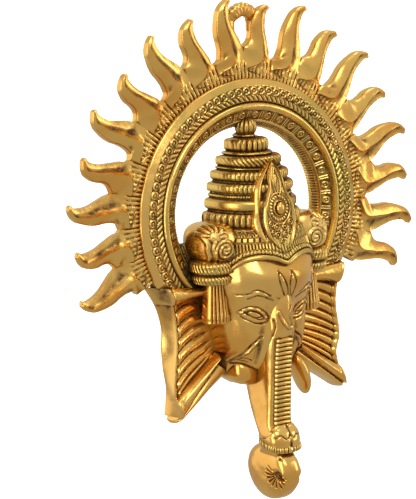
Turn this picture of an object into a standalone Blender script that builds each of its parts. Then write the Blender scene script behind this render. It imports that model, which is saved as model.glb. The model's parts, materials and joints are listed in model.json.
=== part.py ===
"""A cast wall hanging: an elephant-headed figure's face and crown inside a halo ring with flame rays.

It is one casting. The origin is where the nail touches the underside of the hanging arch, on the wall.
+X is the viewer's right, -Y faces the viewer and +Z is up; the wall is the plane y = 0.

Forms are worked out in millimetres as (across, depth in front of the wall, height above the halo's
centre), and become metres in the object's own frame when their mesh is made.
"""

import math

import bmesh
import bpy
import numpy as np

MM = 0.001

# The halo ring
RING_INNER = 59.2
RING_OUTER = 94.5
RING_INNER_DEPTH = 8.2
RING_FOOT_DEPTH = 9.3
RING_BAND_DEPTH = 13.2
BEAD_RADIUS = 75.1
BEAD_WIDTH = 5.0
BEAD_DEPTH = 15.5
RING_END_DROP = 50.0
RING_STEPS = 28
# The ring's inner wall leans out this far up to its lip, and the lip is this wide
RING_WALL_LEAN = 3.2
RING_LIP_WIDTH = 1.8
RING_WALL_SHARE = 0.8
# The bead's rounded crest, and the steps from it down to the bands beside it
BEAD_CREST_SHARE = 0.6
BEAD_CREST_DROP = 0.4
BEAD_FOOT_DROP = 1.7
BAND_GROOVE = 0.7
BAND_GROOVE_WIDTH = 1.0
# The plain outer band's width, and its rounded corner
OUTER_BAND_WIDTH = 5.7
OUTER_BAND_CORNER = 1.0
OUTER_BAND_STEP = 0.8

# The sunburst of flame rays
RAY_COUNT = 18
RAY_PITCH = math.radians(13.08)
LONG_RAY_TIP = 152.5
SHORT_RAY_TIP = 147.0
SHARP_GAP_RADIUS = 117.0
ROUND_GAP_RADIUS = 108.5
RAY_WIDTH = 16.0
RAY_EDGE_DEPTH = 4.9
RAY_RIDGE_DEPTH = 10.0
RAY_TIP_DEPTH = 9.3
RAY_BACK_LIFT = 3.5
FRINGE_DEPTH = 8.0
SUNBURST_BACK = 0.8
RING_LAP = 2.5

# The hanging arch between the two top rays
EYE_HALF_WIDTH = 5.3
ARCH_THICKNESS = 10.2
ARCH_SPRING = 133.0
ARCH_FRONT = 9.5
ARCH_STEPS = 8
# Its feet go down into the rays' tips by this share of its thickness
ARCH_FOOT_DROP = 0.55

# The figure: its own nominal sizes are for a figure this tall, from crown tip to trunk curl
NOMINAL_FIGURE_HEIGHT = 276.5
FIGURE_HEIGHT = 276.5
NOMINAL_FIGURE_TOP = 65.9
FINIAL_LAP = 6.7
WALL_PLANE = 0.0
EGG_BACK = 0.5
FACE_BACK = 0.3

# Colours
GOLD = (0.62, 0.40, 0.12, 1.0)
GOLD_ROUGHNESS = 0.3
SHARP_ANGLE = math.radians(38)

HALO_DROP = ARCH_SPRING + EYE_HALF_WIDTH
FIGURE_SCALE = FIGURE_HEIGHT / NOMINAL_FIGURE_HEIGHT
FIGURE_TOP = RING_INNER + FINIAL_LAP


def curve_through(knots, values, at):
    """A smooth curve through the values at the knots, read at the given places."""
    knots = np.asarray(knots, float)
    values = np.asarray(values, float)
    at = np.clip(np.asarray(at, float), knots[0], knots[-1])
    slopes = np.gradient(values, knots, axis=0)
    index = np.clip(np.searchsorted(knots, at, side="right") - 1, 0, len(knots) - 2)
    step = knots[index + 1] - knots[index]
    share = (at - knots[index]) / step
    if values.ndim == 2:
        step = step[..., None]
        share = share[..., None]
    rise = 3 * share**2 - 2 * share**3
    start_slope = (share - 2 * share**2 + share**3) * step
    end_slope = (share**3 - share**2) * step
    return (
        values[index] * (1 - rise)
        + values[index + 1] * rise
        + slopes[index] * start_slope
        + slopes[index + 1] * end_slope
    )


def figure(points):
    """Nominal figure coordinates to the halo's, hung from the ring's inner edge."""
    points = np.array(points, float)
    points[..., 2] = FIGURE_TOP + (points[..., 2] - NOMINAL_FIGURE_TOP) * FIGURE_SCALE
    points[..., :2] *= FIGURE_SCALE
    return points


def new_object(name, points, faces):
    """A closed mesh object from halo coordinates, with its doubled points joined and faces out."""
    points = np.asarray(points, float).reshape(-1, 3)
    shape = bmesh.new()
    verts = [shape.verts.new((x * MM, -depth * MM, (z - HALO_DROP) * MM)) for x, depth, z in points]
    for face in faces:
        corners = [verts[index] for index in face]
        if len(set(corners)) > 2:
            shape.faces.new(corners)
    bmesh.ops.remove_doubles(shape, verts=shape.verts, dist=0.00001)
    bmesh.ops.dissolve_degenerate(shape, edges=shape.edges, dist=0.00001)
    bmesh.ops.recalc_face_normals(shape, faces=shape.faces)
    if shape.calc_volume(signed=True) < 0:
        bmesh.ops.reverse_faces(shape, faces=shape.faces)
    mesh = bpy.data.meshes.new(name)
    shape.to_mesh(mesh)
    shape.free()
    mesh.shade_smooth()
    mesh.set_sharp_from_angle(angle=SHARP_ANGLE)
    made = bpy.data.objects.new(name, mesh)
    bpy.context.scene.collection.objects.link(made)
    return made


def grid_faces(rows, columns, first=0, wrap=False):
    """Quads between neighbouring points of a grid whose points are numbered row by row."""
    faces = []
    for row in range(rows - 1):
        for column in range(columns if wrap else columns - 1):
            following = (column + 1) % columns
            faces.append(
                (
                    first + row * columns + column,
                    first + row * columns + following,
                    first + (row + 1) * columns + following,
                    first + (row + 1) * columns + column,
                )
            )
    return faces


def loft(name, rings):
    """A closed solid through rings of points, with a flat cap at each end."""
    rings = np.asarray(rings, float)
    count, around = rings.shape[:2]
    faces = grid_faces(count, around, wrap=True)
    faces.append(tuple(range(around)))
    faces.append(tuple((count - 1) * around + index for index in range(around)))
    return new_object(name, rings, faces)


def plate(name, front, back_depth):
    """A closed solid between a front grid and a flat back at one depth, with walls round its edge."""
    front = np.asarray(front, float)
    rows, columns = front.shape[:2]
    back = front.copy()
    back[..., 1] = back_depth
    faces = grid_faces(rows, columns)
    size = rows * columns
    edge = [(0, column) for column in range(columns)]
    edge += [(row, columns - 1) for row in range(1, rows)]
    edge += [(rows - 1, column) for column in range(columns - 2, -1, -1)]
    edge += [(row, 0) for row in range(rows - 2, 0, -1)]
    ring = [row * columns + column for row, column in edge]
    for start, end in zip(ring, ring[1:] + ring[:1]):
        faces.append((start, end, size + end, size + start))
    faces.append(tuple(size + corner for corner in ring))
    return new_object(name, np.concatenate([front.reshape(-1, 3), back.reshape(-1, 3)]), faces)


def egg(name, centre, radii, around=16, levels=9):
    """A closed ellipsoid about a nominal figure point, flattened where it would pass the wall."""
    rings = []
    for level in range(levels + 1):
        polar = math.pi * level / levels
        turn = np.arange(around) * 2 * math.pi / around
        ring = np.stack(
            [
                centre[0] + radii[0] * math.sin(polar) * np.cos(turn),
                np.maximum(centre[1] + radii[1] * math.sin(polar) * np.sin(turn), EGG_BACK),
                np.full(around, centre[2] + radii[2] * math.cos(polar)),
            ],
            axis=-1,
        )
        rings.append(ring)
    return loft(name, figure(rings))


# The flame rays

# Each edge and the ridge as (share of the ray's length from its gap to its tip, share of its width)
LEFT_EDGE = [(0.12, -0.57), (0.30, -0.50), (0.50, -0.54), (0.70, -0.47), (0.87, -0.30), (0.97, -0.02)]
RIGHT_EDGE = [(0.12, 0.74), (0.30, 0.53), (0.50, 0.32), (0.70, 0.24), (0.87, 0.27), (0.97, 0.38)]
RIDGE = [(0.12, 0.03), (0.30, -0.02), (0.50, -0.13), (0.70, -0.17), (0.87, -0.10), (0.97, 0.17)]
# A round gap's edges start this much nearer to the ray's middle
ROUND_GAP_INSET = 0.13
# The part between the ring and the gap as (share of the way out, ridge place, edge depth, ridge depth)
RAY_BASE = [(0.0, -0.62, 1.0, 0.88), (0.5, -0.34, 0.84, 0.82)]


def ray_side(ray, side):
    """The radius of the gap on this side of a ray: sharp and round gaps take turns."""
    long_ray = ray % 2 == 0
    sharp = long_ray if side > 0 else not long_ray
    return SHARP_GAP_RADIUS if sharp else ROUND_GAP_RADIUS


def ray_station(ray, share, base):
    """Left edge, ridge and right edge of a ray at a station, each as (radius, offset, depth)."""
    tip = LONG_RAY_TIP if ray % 2 == 0 else SHORT_RAY_TIP
    gaps = [ray_side(ray, -1), ray_side(ray, 1)]
    half = RAY_PITCH / 2
    if base is not None:
        place, edge, ridge = base[1:]
        start = RING_OUTER - RING_LAP
        radii = [start + (gap - start) * base[0] for gap in gaps]
        middle = sum(radii) / 2
        return [
            (radii[0], -half * radii[0], edge * FRINGE_DEPTH),
            (middle, place * RAY_WIDTH, ridge * RAY_RIDGE_DEPTH),
            (radii[1], half * radii[1], edge * FRINGE_DEPTH),
        ]
    edge_depth = RAY_EDGE_DEPTH + (RAY_TIP_DEPTH - RAY_EDGE_DEPTH) * share**1.5 * 0.6
    ridge_depth = RAY_RIDGE_DEPTH + (RAY_TIP_DEPTH - RAY_RIDGE_DEPTH) * share**2
    if share == 0:
        left, ridge, right = -half * gaps[0], 0.08 * RAY_WIDTH, half * gaps[1]
    else:
        insets = [ROUND_GAP_INSET * (gap == ROUND_GAP_RADIUS) * max(0, 1 - share / 0.4) for gap in gaps]
        left = RAY_WIDTH * (curve_through(*zip(*LEFT_EDGE), share) + insets[0])
        ridge = RAY_WIDTH * curve_through(*zip(*RIDGE), share)
        right = RAY_WIDTH * (curve_through(*zip(*RIGHT_EDGE), share) - insets[1])
    middle = sum(gaps) / 2
    return [
        (gaps[0] + (tip - gaps[0]) * share, left, edge_depth),
        (middle + (tip - middle) * share, ridge, ridge_depth),
        (gaps[1] + (tip - gaps[1]) * share, right, edge_depth),
    ]


def round_the_halo(angle, radius, offset, depth):
    """A point of a ray in halo coordinates: its offset is an arc length from the ray's middle line."""
    turn = angle + offset / radius
    return (radius * math.sin(turn), depth, radius * math.cos(turn))


def ray_rows(ray, between):
    """The front grid of a ray, from under the ring to its tip."""
    angle = (ray - (RAY_COUNT - 1) / 2) * RAY_PITCH
    stations = [ray_station(ray, 0, base) for base in RAY_BASE]
    stations += [ray_station(ray, share, None) for share in (0, 0.12, 0.3, 0.5, 0.7, 0.87, 0.97)]
    rows = []
    for left, ridge, right in stations:
        left, ridge, right = np.array(left), np.array(ridge), np.array(right)
        row = [left]
        for share in between:
            inner = left + (ridge - left) * share
            inner[2] = left[2] + (ridge[2] - left[2]) * share**0.7
            row.append(inner)
        row.append(ridge)
        for share in between:
            outer = ridge + (right - ridge) * share
            outer[2] = right[2] + (ridge[2] - right[2]) * (1 - share) ** 1.7
            row.append(outer)
        row.append(right)
        rows.append([round_the_halo(angle, *point) for point in row])
    return np.array(rows), len(RAY_BASE)


def sunburst():
    """All the rays on their common ring of flutes: neighbours share their edge up to the gap."""
    points = []
    faces = []
    for ray in range(RAY_COUNT):
        front, gap_row = ray_rows(ray, between=(0.5,))
        rows, columns = front.shape[:2]
        back = front[:, [0, -1]].copy()
        for row in range(rows):
            share = max(0, row - gap_row) / (rows - 1 - gap_row)
            back[row, :, 1] = SUNBURST_BACK + RAY_BACK_LIFT * share**2
        first = len(points)
        points += front.reshape(-1, 3).tolist()
        low = len(points)
        points += back.reshape(-1, 3).tolist()
        faces += grid_faces(rows, columns, first)
        faces += grid_faces(rows, 2, low)
        faces.append(tuple(first + column for column in range(columns)) + (low + 1, low))
        last = first + (rows - 1) * columns
        end = low + (rows - 1) * 2
        faces.append(tuple(last + column for column in range(columns)) + (end + 1, end))
        for row in range(rows - 1):
            here = first + row * columns
            under = low + row * 2
            if row >= gap_row or ray == 0:
                faces.append((here, here + columns, under + 2, under))
            if row >= gap_row or ray == RAY_COUNT - 1:
                side = here + columns - 1
                faces.append((side, side + columns, under + 3, under + 1))
    return new_object("sunburst", points, faces)


def halo_ring():
    """The ring's moulded profile, swept round and cut off level at the ears' tops."""
    half_bead = BEAD_WIDTH / 2
    profile = [
        (RING_INNER, WALL_PLANE),
        (RING_INNER + RING_WALL_LEAN, RING_INNER_DEPTH * RING_WALL_SHARE),
        (RING_INNER + RING_WALL_LEAN + RING_LIP_WIDTH, RING_INNER_DEPTH),
        (BEAD_RADIUS - half_bead, BEAD_DEPTH - BEAD_FOOT_DROP),
        (BEAD_RADIUS - half_bead * BEAD_CREST_SHARE, BEAD_DEPTH - BEAD_CREST_DROP),
        (BEAD_RADIUS + half_bead * BEAD_CREST_SHARE, BEAD_DEPTH - BEAD_CREST_DROP),
        (BEAD_RADIUS + half_bead, RING_BAND_DEPTH - BAND_GROOVE),
        (BEAD_RADIUS + half_bead + BAND_GROOVE_WIDTH, RING_BAND_DEPTH),
        (RING_OUTER - OUTER_BAND_WIDTH, RING_BAND_DEPTH),
        (RING_OUTER - OUTER_BAND_WIDTH + OUTER_BAND_CORNER, RING_BAND_DEPTH - OUTER_BAND_STEP),
        (RING_OUTER, RING_FOOT_DEPTH),
        (RING_OUTER, WALL_PLANE),
    ]
    rings = []
    for share in np.linspace(-1, 1, RING_STEPS + 1):
        ring = []
        for radius, depth in profile:
            turn = share * math.acos(-RING_END_DROP / radius)
            ring.append((radius * math.sin(turn), depth, radius * math.cos(turn)))
        rings.append(ring)
    return loft("halo_ring", rings)


def hanging_arch():
    """The arch over the nail: a half ring between the tips of the two top rays."""
    middle = EYE_HALF_WIDTH + ARCH_THICKNESS / 2
    half_depth = (ARCH_FRONT - WALL_PLANE) / 2
    centre_depth = (ARCH_FRONT + WALL_PLANE) / 2
    bends = np.linspace(-math.pi / 2, math.pi / 2, ARCH_STEPS + 1)
    path = [(bends[0], ARCH_FOOT_DROP)] + [(bend, 0.0) for bend in bends] + [(bends[-1], ARCH_FOOT_DROP)]
    sides = 8
    corner_share = math.cos(math.pi / sides)
    rings = []
    for bend, drop in path:
        across = np.array([math.sin(bend), math.cos(bend)])
        centre = across * middle + np.array([0.0, ARCH_SPRING - drop * ARCH_THICKNESS])
        ring = []
        for step in range(sides):
            angle = (step + 0.5) * 2 * math.pi / sides
            wide = ARCH_THICKNESS / 2 * math.cos(angle) / corner_share
            deep = half_depth * math.sin(angle) / corner_share
            point = centre + across * wide
            ring.append((point[0], centre_depth + deep, point[1]))
        rings.append(ring)
    return loft("hanging_arch", rings)


# The crown

# Each tier as (height of its middle, its own height, half width, front depth)
TIERS = [
    (53.2, 3.0, 9.5, 15.0),
    (47.0, 8.0, 13.8, 22.5),
    (41.8, 4.0, 18.6, 28.5),
    (36.4, 7.6, 22.9, 34.5),
    (31.4, 3.4, 24.6, 35.5),
    (26.8, 6.6, 28.0, 39.0),
    (18.2, 7.4, 31.2, 42.0),
    (7.0, 7.6, 33.6, 44.0),
    (-4.0, 9.0, 34.8, 43.6),
]
TIER_GROOVE = 2.6
CROWN_TOP = (55.5, 6.0, 11.0)
CROWN_SQUARENESS = 0.8
BAND = [(-8.6, 32.4, 41.0), (-10.0, 37.0, 45.0), (-17.0, 40.5, 47.5), (-30.0, 43.0, 52.4), (-33.5, 43.5, 52.6)]
ARC_STEPS = 13
# Each ring of ribs as (height, its own height, half width, front depth, ribs, rib depth)
RIB_BACK = 2.0
RIBBED = [(47.5, 8.6, 15.3, 24.0, 11, 1.6), (-4.0, 8.4, 36.4, 44.6, 17, 1.4)]
FINIAL = (0.0, 6.5, 59.5)
FINIAL_RADII = (7.6, 7.0, 7.0)


def half_round(height, half_width, front_depth, arc, back=WALL_PLANE):
    """A level of the crown: half an ellipse in front of its flat back."""
    depth = back + (front_depth - back) * np.cos(arc) ** CROWN_SQUARENESS
    return np.stack([half_width * np.sin(arc), depth, np.full_like(arc, height)], axis=-1)


def crown():
    """The crown's stacked tiers over its band, two rings of ribs and the finial."""
    levels = [CROWN_TOP]
    for middle, tall, half_width, front_depth in TIERS:
        for share, inset in ((0.5, TIER_GROOVE), (0.3, 0.0), (-0.3, 0.0)):
            levels.append((middle + share * tall, half_width - inset, front_depth - inset))
    levels += BAND
    arc = np.linspace(-math.pi / 2, math.pi / 2, ARC_STEPS + 1)
    made = [loft("crown", figure([half_round(*level, arc) for level in levels]))]
    for middle, tall, half_width, front_depth, ribs, rib_depth in RIBBED:
        arc = np.linspace(-math.pi / 2, math.pi / 2, ribs * 2 + 1)
        valley = np.where(np.arange(ribs * 2 + 1) % 2 == 0, rib_depth, 0.0)
        rings = []
        for share, inset in ((0.5, TIER_GROOVE), (0.28, 0.0), (-0.28, 0.0), (-0.5, TIER_GROOVE)):
            level = middle + share * tall
            cut = inset + valley
            rings.append(half_round(level, half_width - cut, front_depth - cut, arc, RIB_BACK))
        made.append(loft("ribbed_ring", figure(rings)))
    made.append(egg("finial", FINIAL, FINIAL_RADII, around=12, levels=6))
    return made


# The side ornaments, mirrored left and right
DOME_CENTRE = (38.0, 14.0, -17.0)
DOME_RADII = (17.5, 22.0, 16.5)
TASSEL_AXIS = (37.0, 17.0)
# Each level as (height, radius)
ROLLS = [(-30.5, 12.5), (-33.5, 14.6), (-37.5, 14.6), (-40.0, 12.6), (-41.5, 13.4), (-45.0, 13.4), (-47.5, 9.0)]
TASSEL = [(-45.0, 7.6), (-52.0, 8.6), (-66.0, 9.9), (-73.0, 10.2), (-76.0, 8.6), (-77.0, 5.0)]
TASSEL_GROOVES = 9
TASSEL_GROOVE_DEPTH = 0.9


# The web that fills the corner between the ring and the head, as (height, inner side, outer side)
WEB = [(-19.0, 46.0, 60.0), (-30.0, 36.0, 57.0), (-40.0, 34.0, 51.0), (-51.0, 33.0, 42.0)]
WEB_BACK = 0.8
WEB_FRONT = 6.5


def web(side):
    """The thin web behind a side ornament."""
    rings = []
    for height, inner, outer in WEB:
        corners = [(inner, WEB_BACK), (outer, WEB_BACK), (outer, WEB_FRONT), (inner, WEB_FRONT)]
        rings.append([(side * across, depth, height) for across, depth in corners])
    return loft("web", figure(rings))


def side_ornament(side):
    """The smooth dome with two rolls and a tassel under it, at one side of the crown."""
    made = [egg("dome", (side * DOME_CENTRE[0], *DOME_CENTRE[1:]), DOME_RADII, around=12, levels=7)]
    for name, levels, grooves in (("rolls", ROLLS, 0), ("tassel", TASSEL, TASSEL_GROOVES)):
        count = grooves * 2 if grooves else 12
        turn = np.arange(count) * 2 * math.pi / count
        cut = np.where(np.arange(count) % 2 == 1, TASSEL_GROOVE_DEPTH if grooves else 0, 0)
        rings = []
        for height, radius in levels:
            across = side * TASSEL_AXIS[0] + (radius - cut) * np.cos(turn)
            depth = TASSEL_AXIS[1] + (radius - cut) * np.sin(turn)
            rings.append(np.stack([across, depth, np.full(count, height)], axis=-1))
        made.append(loft(name, figure(rings)))
    return made


# The front medallion as (height, half width, depth of its face)
MEDALLION = [
    (38.5, 0.8, 37.0),
    (33.0, 4.0, 39.0),
    (27.0, 6.2, 41.0),
    (20.0, 7.0, 42.8),
    (13.0, 10.2, 44.0),
    (6.0, 13.4, 45.0),
    (-2.0, 14.4, 45.8),
    (-10.0, 13.2, 47.0),
    (-18.0, 9.4, 48.6),
    (-26.0, 1.2, 50.4),
]
MEDALLION_BACK = 28.0
MEDALLION_RIM = 0.8
GEM = (0.0, 45.8, 4.5)
GEM_RADII = (4.2, 3.2, 6.0)


def medallion():
    """The leaf-shaped plate on the crown's front, with a raised rim and a gem."""
    rows = []
    for height, half_width, depth in MEDALLION:
        row = []
        for share in (-1.0, -0.82, -0.6, 0.0, 0.6, 0.82, 1.0):
            lift = MEDALLION_RIM if abs(share) == 0.82 else 0.0
            sink = -0.6 if abs(share) == 1.0 else 0.0
            row.append((share * half_width, depth + lift + sink, height))
        rows.append(row)
    gem = egg("gem", GEM, GEM_RADII, around=12, levels=7)
    return [plate("medallion", figure(rows), MEDALLION_BACK * FIGURE_SCALE), gem]


# The face as rows of (height, half width, then depths at five places from the middle outwards)
FACE_PLACES = (0.0, 0.28, 0.57, 0.80, 0.93, 1.0)
FACE = [
    (-20.0, 42.0, (45.0, 43.5, 39.0, 30.0, 17.0, 4.0)),
    (-32.0, 43.0, (51.0, 49.5, 44.5, 34.0, 20.0, 5.0)),
    (-42.0, 43.5, (57.0, 54.5, 48.0, 36.0, 22.0, 5.0)),
    (-50.0, 43.0, (56.0, 53.0, 46.5, 35.0, 21.0, 5.0)),
    (-58.0, 42.0, (52.0, 48.5, 44.0, 33.0, 20.0, 5.0)),
    (-68.0, 41.0, (45.0, 43.0, 41.5, 31.0, 19.0, 5.0)),
    (-78.0, 39.5, (41.0, 40.0, 40.0, 30.0, 18.0, 5.0)),
    (-88.0, 38.0, (38.0, 37.5, 38.5, 29.0, 17.0, 5.0)),
    (-98.0, 36.5, (33.0, 33.0, 35.0, 27.0, 16.0, 5.0)),
    (-106.0, 35.0, (28.0, 29.0, 31.0, 22.0, 14.0, 5.0)),
    (-114.0, 33.0, (22.0, 25.0, 27.0, 18.0, 11.0, 4.0)),
    (-121.0, 27.0, (15.0, 19.0, 19.0, 12.0, 8.0, 3.0)),
    (-126.0, 18.0, (10.0, 12.0, 12.0, 8.0, 6.0, 3.0)),
]
FACE_ROWS = 19
FACE_COLUMNS = 16
BROW = (24.0, -55.5, 13.0, 3.2, 1.6)
SOCKET = (23.0, -68.5, 12.0, 7.5, -2.2)
CREASE_START = (13.0, -87.0)
CREASE_END = (33.0, -107.0)
CREASE_STEP = 2.6
CREASE_RUN_ON = 1.1
CREASE_FADE = 9.0
EYE = (24.0, 40.2, -68.5)
EYE_RADII = (11.0, 3.4, 4.4)
JAW_LEFT = (-22.0, 15.0, -112.0)
JAW_LEFT_RADII = (13.5, 14.0, 12.0)
JAW_RIGHT = (33.6, 21.0, -121.5)
JAW_RIGHT_RADII = (7.8, 11.0, 17.5)


def face_depth(share, height):
    """The face's depth at a share of its half width, before its relief."""
    heights = [-row[0] for row in FACE]
    depths = curve_through(heights, [row[2] for row in FACE], -height)
    half_width = curve_through(heights, [row[1] for row in FACE], -height)
    return curve_through(FACE_PLACES, depths, abs(share)), half_width


def face_relief(across, height):
    """The brow, the eye's socket and the step of the mouth's crease."""
    across = abs(across)
    relief = 0.0
    for middle, level, wide, tall, lift in (BROW, SOCKET):
        relief += lift * math.exp(-(((across - middle) / wide) ** 2) - ((height - level) / tall) ** 2)
    run = (CREASE_END[0] - CREASE_START[0], CREASE_END[1] - CREASE_START[1])
    length = math.hypot(*run)
    along = ((across - CREASE_START[0]) * run[0] + (height - CREASE_START[1]) * run[1]) / length**2
    beside = ((across - CREASE_START[0]) * run[1] - (height - CREASE_START[1]) * run[0]) / length
    if 0 < along < CREASE_RUN_ON and beside < 0:
        swell = math.sin(math.pi * along / CREASE_RUN_ON)
        relief += CREASE_STEP * swell * math.exp(beside / CREASE_FADE)
    return relief


def face():
    """The face without its trunk: a domed relief with its sides curving back to the wall."""
    top = FACE[0][0]
    bottom = FACE[-1][0]
    shares = np.sin(np.linspace(-math.pi / 2, math.pi / 2, FACE_COLUMNS + 1))
    rows = []
    for height in np.linspace(top, bottom, FACE_ROWS + 1):
        row = []
        for share in shares:
            depth, half_width = face_depth(float(share), height)
            across = share * half_width
            fade = min(1.0, 3 * (1 - abs(share)))
            row.append((across, depth + fade * face_relief(across, height), height))
        rows.append(row)
    made = [plate("face", figure(rows), FACE_BACK)]
    for side in (-1, 1):
        made.append(egg("eye", (side * EYE[0], *EYE[1:]), EYE_RADII, around=12, levels=6))
    made.append(egg("jaw_left", JAW_LEFT, JAW_LEFT_RADII, around=14, levels=8))
    made.append(egg("jaw_right", JAW_RIGHT, JAW_RIGHT_RADII, around=12, levels=8))
    return made


# The trunk as levels of (height, half width, back depth, front depth)
TRUNK = [
    (-56.0, 9.0, 30.0, 52.0),
    (-64.0, 10.4, 26.0, 53.0),
    (-78.0, 11.0, 18.0, 51.6),
    (-88.0, 11.2, 12.0, 48.4),
    (-100.0, 11.2, 8.0, 46.4),
    (-115.0, 11.1, 5.5, 45.0),
    (-130.0, 11.0, 9.5, 44.0),
    (-142.0, 11.0, 14.0, 43.2),
    (-152.0, 11.2, 19.5, 43.2),
    (-160.0, 11.6, 24.5, 47.0),
    (-168.0, 11.6, 27.0, 48.0),
    (-174.0, 10.4, 24.0, 46.0),
]
TRUNK_STEPS = 10
LADDER_TOP = -88.0
LADDER_BOTTOM = -151.0
LADDER_RIBS = 20
LADDER_HALF_WIDTH = 7.4
LADDER_RISE = 1.3
LADDER_GROOVE_RISE = 0.2
LADDER_THICKNESS = 6.0
COLLAR = [(-151.5, 5.0, 32.0, 45.0), (-156.0, 11.8, 27.5, 50.0), (-161.0, 13.4, 26.5, 52.4), (-166.0, 13.6, 27.0, 52.2)]
BEADS = [(-166.3, 12.4, 27.5, 51.0), (-168.2, 13.4, 27.0, 52.0), (-170.6, 12.2, 27.5, 50.4)]
CURL_CENTRE = (30.8, -188.4)
CURL_RADII = (26.6, 21.4)
CURL_HALF_WIDTH = 11.5
CURL_STEPS = 16


def pillar(name, levels, around=12, power=0.5):
    """A solid through levels of (height, half width, back depth, front depth), of rounded-square plan."""
    turn = (np.arange(around) + 0.5) * 2 * math.pi / around
    wide = np.sign(np.cos(turn)) * abs(np.cos(turn)) ** power
    deep = np.sign(np.sin(turn)) * abs(np.sin(turn)) ** power
    rings = []
    for height, half_width, back, front in levels:
        middle = (back + front) / 2
        reach = (front - back) / 2
        rings.append(np.stack([half_width * wide, middle + reach * deep, np.full(around, height)], axis=-1))
    return loft(name, figure(rings))


def trunk():
    """The trunk: smooth tall sides, a ladder of ribs down its front, a leaf collar and the curled end."""
    heights = np.linspace(TRUNK[0][0], TRUNK[-1][0], TRUNK_STEPS + 1)
    table = curve_through([-row[0] for row in TRUNK], [row[1:] for row in TRUNK], -heights)
    made = [pillar("trunk", [(height, *row) for height, row in zip(heights, table)])]
    rungs = []
    for step in range(LADDER_RIBS * 2 + 1):
        height = LADDER_TOP + (LADDER_BOTTOM - LADDER_TOP) * step / (LADDER_RIBS * 2)
        front = curve_through([-row[0] for row in TRUNK], [row[3] for row in TRUNK], -height)
        rise = LADDER_RISE if step % 2 else LADDER_GROOVE_RISE
        back = front - LADDER_THICKNESS
        rungs.append(
            [
                (-LADDER_HALF_WIDTH, back, height),
                (-LADDER_HALF_WIDTH, front + rise, height),
                (LADDER_HALF_WIDTH, front + rise, height),
                (LADDER_HALF_WIDTH, back, height),
            ]
        )
    made.append(loft("ladder", figure(rungs)))
    made.append(pillar("collar", COLLAR, power=0.9))
    made.append(pillar("bead_band", BEADS, power=0.9))
    made.append(curl())
    return made


def curl():
    """The trunk's curled end: a thick egg seen from the side, with its tip turned into the middle."""
    turn = np.arange(CURL_STEPS) * 2 * math.pi / CURL_STEPS
    rings = []
    for share in (-1.0, -0.9, -0.5, 0.0, 0.5, 0.9, 1.0):
        size = 0.45 if abs(share) == 1.0 else (1 - abs(share) ** 3.0 * 0.75) ** 0.5
        depth = CURL_CENTRE[0] + CURL_RADII[0] * size * np.cos(turn) * (1 + 0.08 * np.sin(turn))
        height = CURL_CENTRE[1] + CURL_RADII[1] * size * np.sin(turn)
        across = np.full(CURL_STEPS, share * CURL_HALF_WIDTH)
        rings.append(np.stack([across, depth, height], axis=-1))
    return loft("curl", figure(rings))


# The ears, each from its top roll down, as seen across the head: the front of the rim, the inner side
# and the lower edge. The casting's right ear is a little wider and shorter than its left one.
LEFT_RIM = [(83.0, -50.5), (77.0, -62.0), (73.8, -77.8), (73.4, -91.2), (71.2, -106.4), (69.0, -121.0)]
LEFT_RIM += [(69.8, -131.0), (74.2, -141.5)]
RIGHT_RIM = [(81.0, -50.5), (75.5, -64.0), (73.4, -79.0), (75.2, -93.0), (75.4, -103.0), (72.6, -114.0)]
RIGHT_RIM += [(76.0, -127.0), (79.4, -138.5)]
EAR_INNER = [(44.0, -47.0), (44.0, -58.0), (40.0, -68.0), (37.0, -78.0), (34.0, -88.0), (34.5, -95.0)]
EAR_INNER += [(35.5, -101.0), (38.0, -106.0)]
LEFT_LOW = [(70.0, -148.0), (52.0, -136.3), (39.4, -127.6), (24.0, -118.0)]
RIGHT_LOW = [(76.5, -143.2), (60.0, -132.0), (45.0, -123.0), (28.0, -112.0)]
EAR_RIM_DEPTH = 14.5
EAR_FIELD_DEPTH = 9.0
EAR_ROLL_DEPTH = 18.0
EAR_PLEATS = 8
EAR_PLEAT_DEPTH = 1.8
EAR_FLARE = 4.0
EAR_BACK = 1.0
# The share of the ear's height that each roll takes, and how far the outer side's foot stands off
EAR_ROLL_SHARE = 0.09
EAR_FOOT = 0.2
# The lower lobe's rows as (share of the way from its crest to its edge, drop from the roll's depth, rise)
EAR_LOBE = [(0.0, 8.0, 6.0), (0.0, 1.5, 1.0), (0.5, 3.0, 0.0)]
EAR_LOBE_EDGE = 4.0
EAR_LOBE_STEPS = 8
EAR_SLICES = 24
EAR_PLACES = (0.0, 0.2, 0.5, 0.8, 0.94, 1.0)


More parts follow.
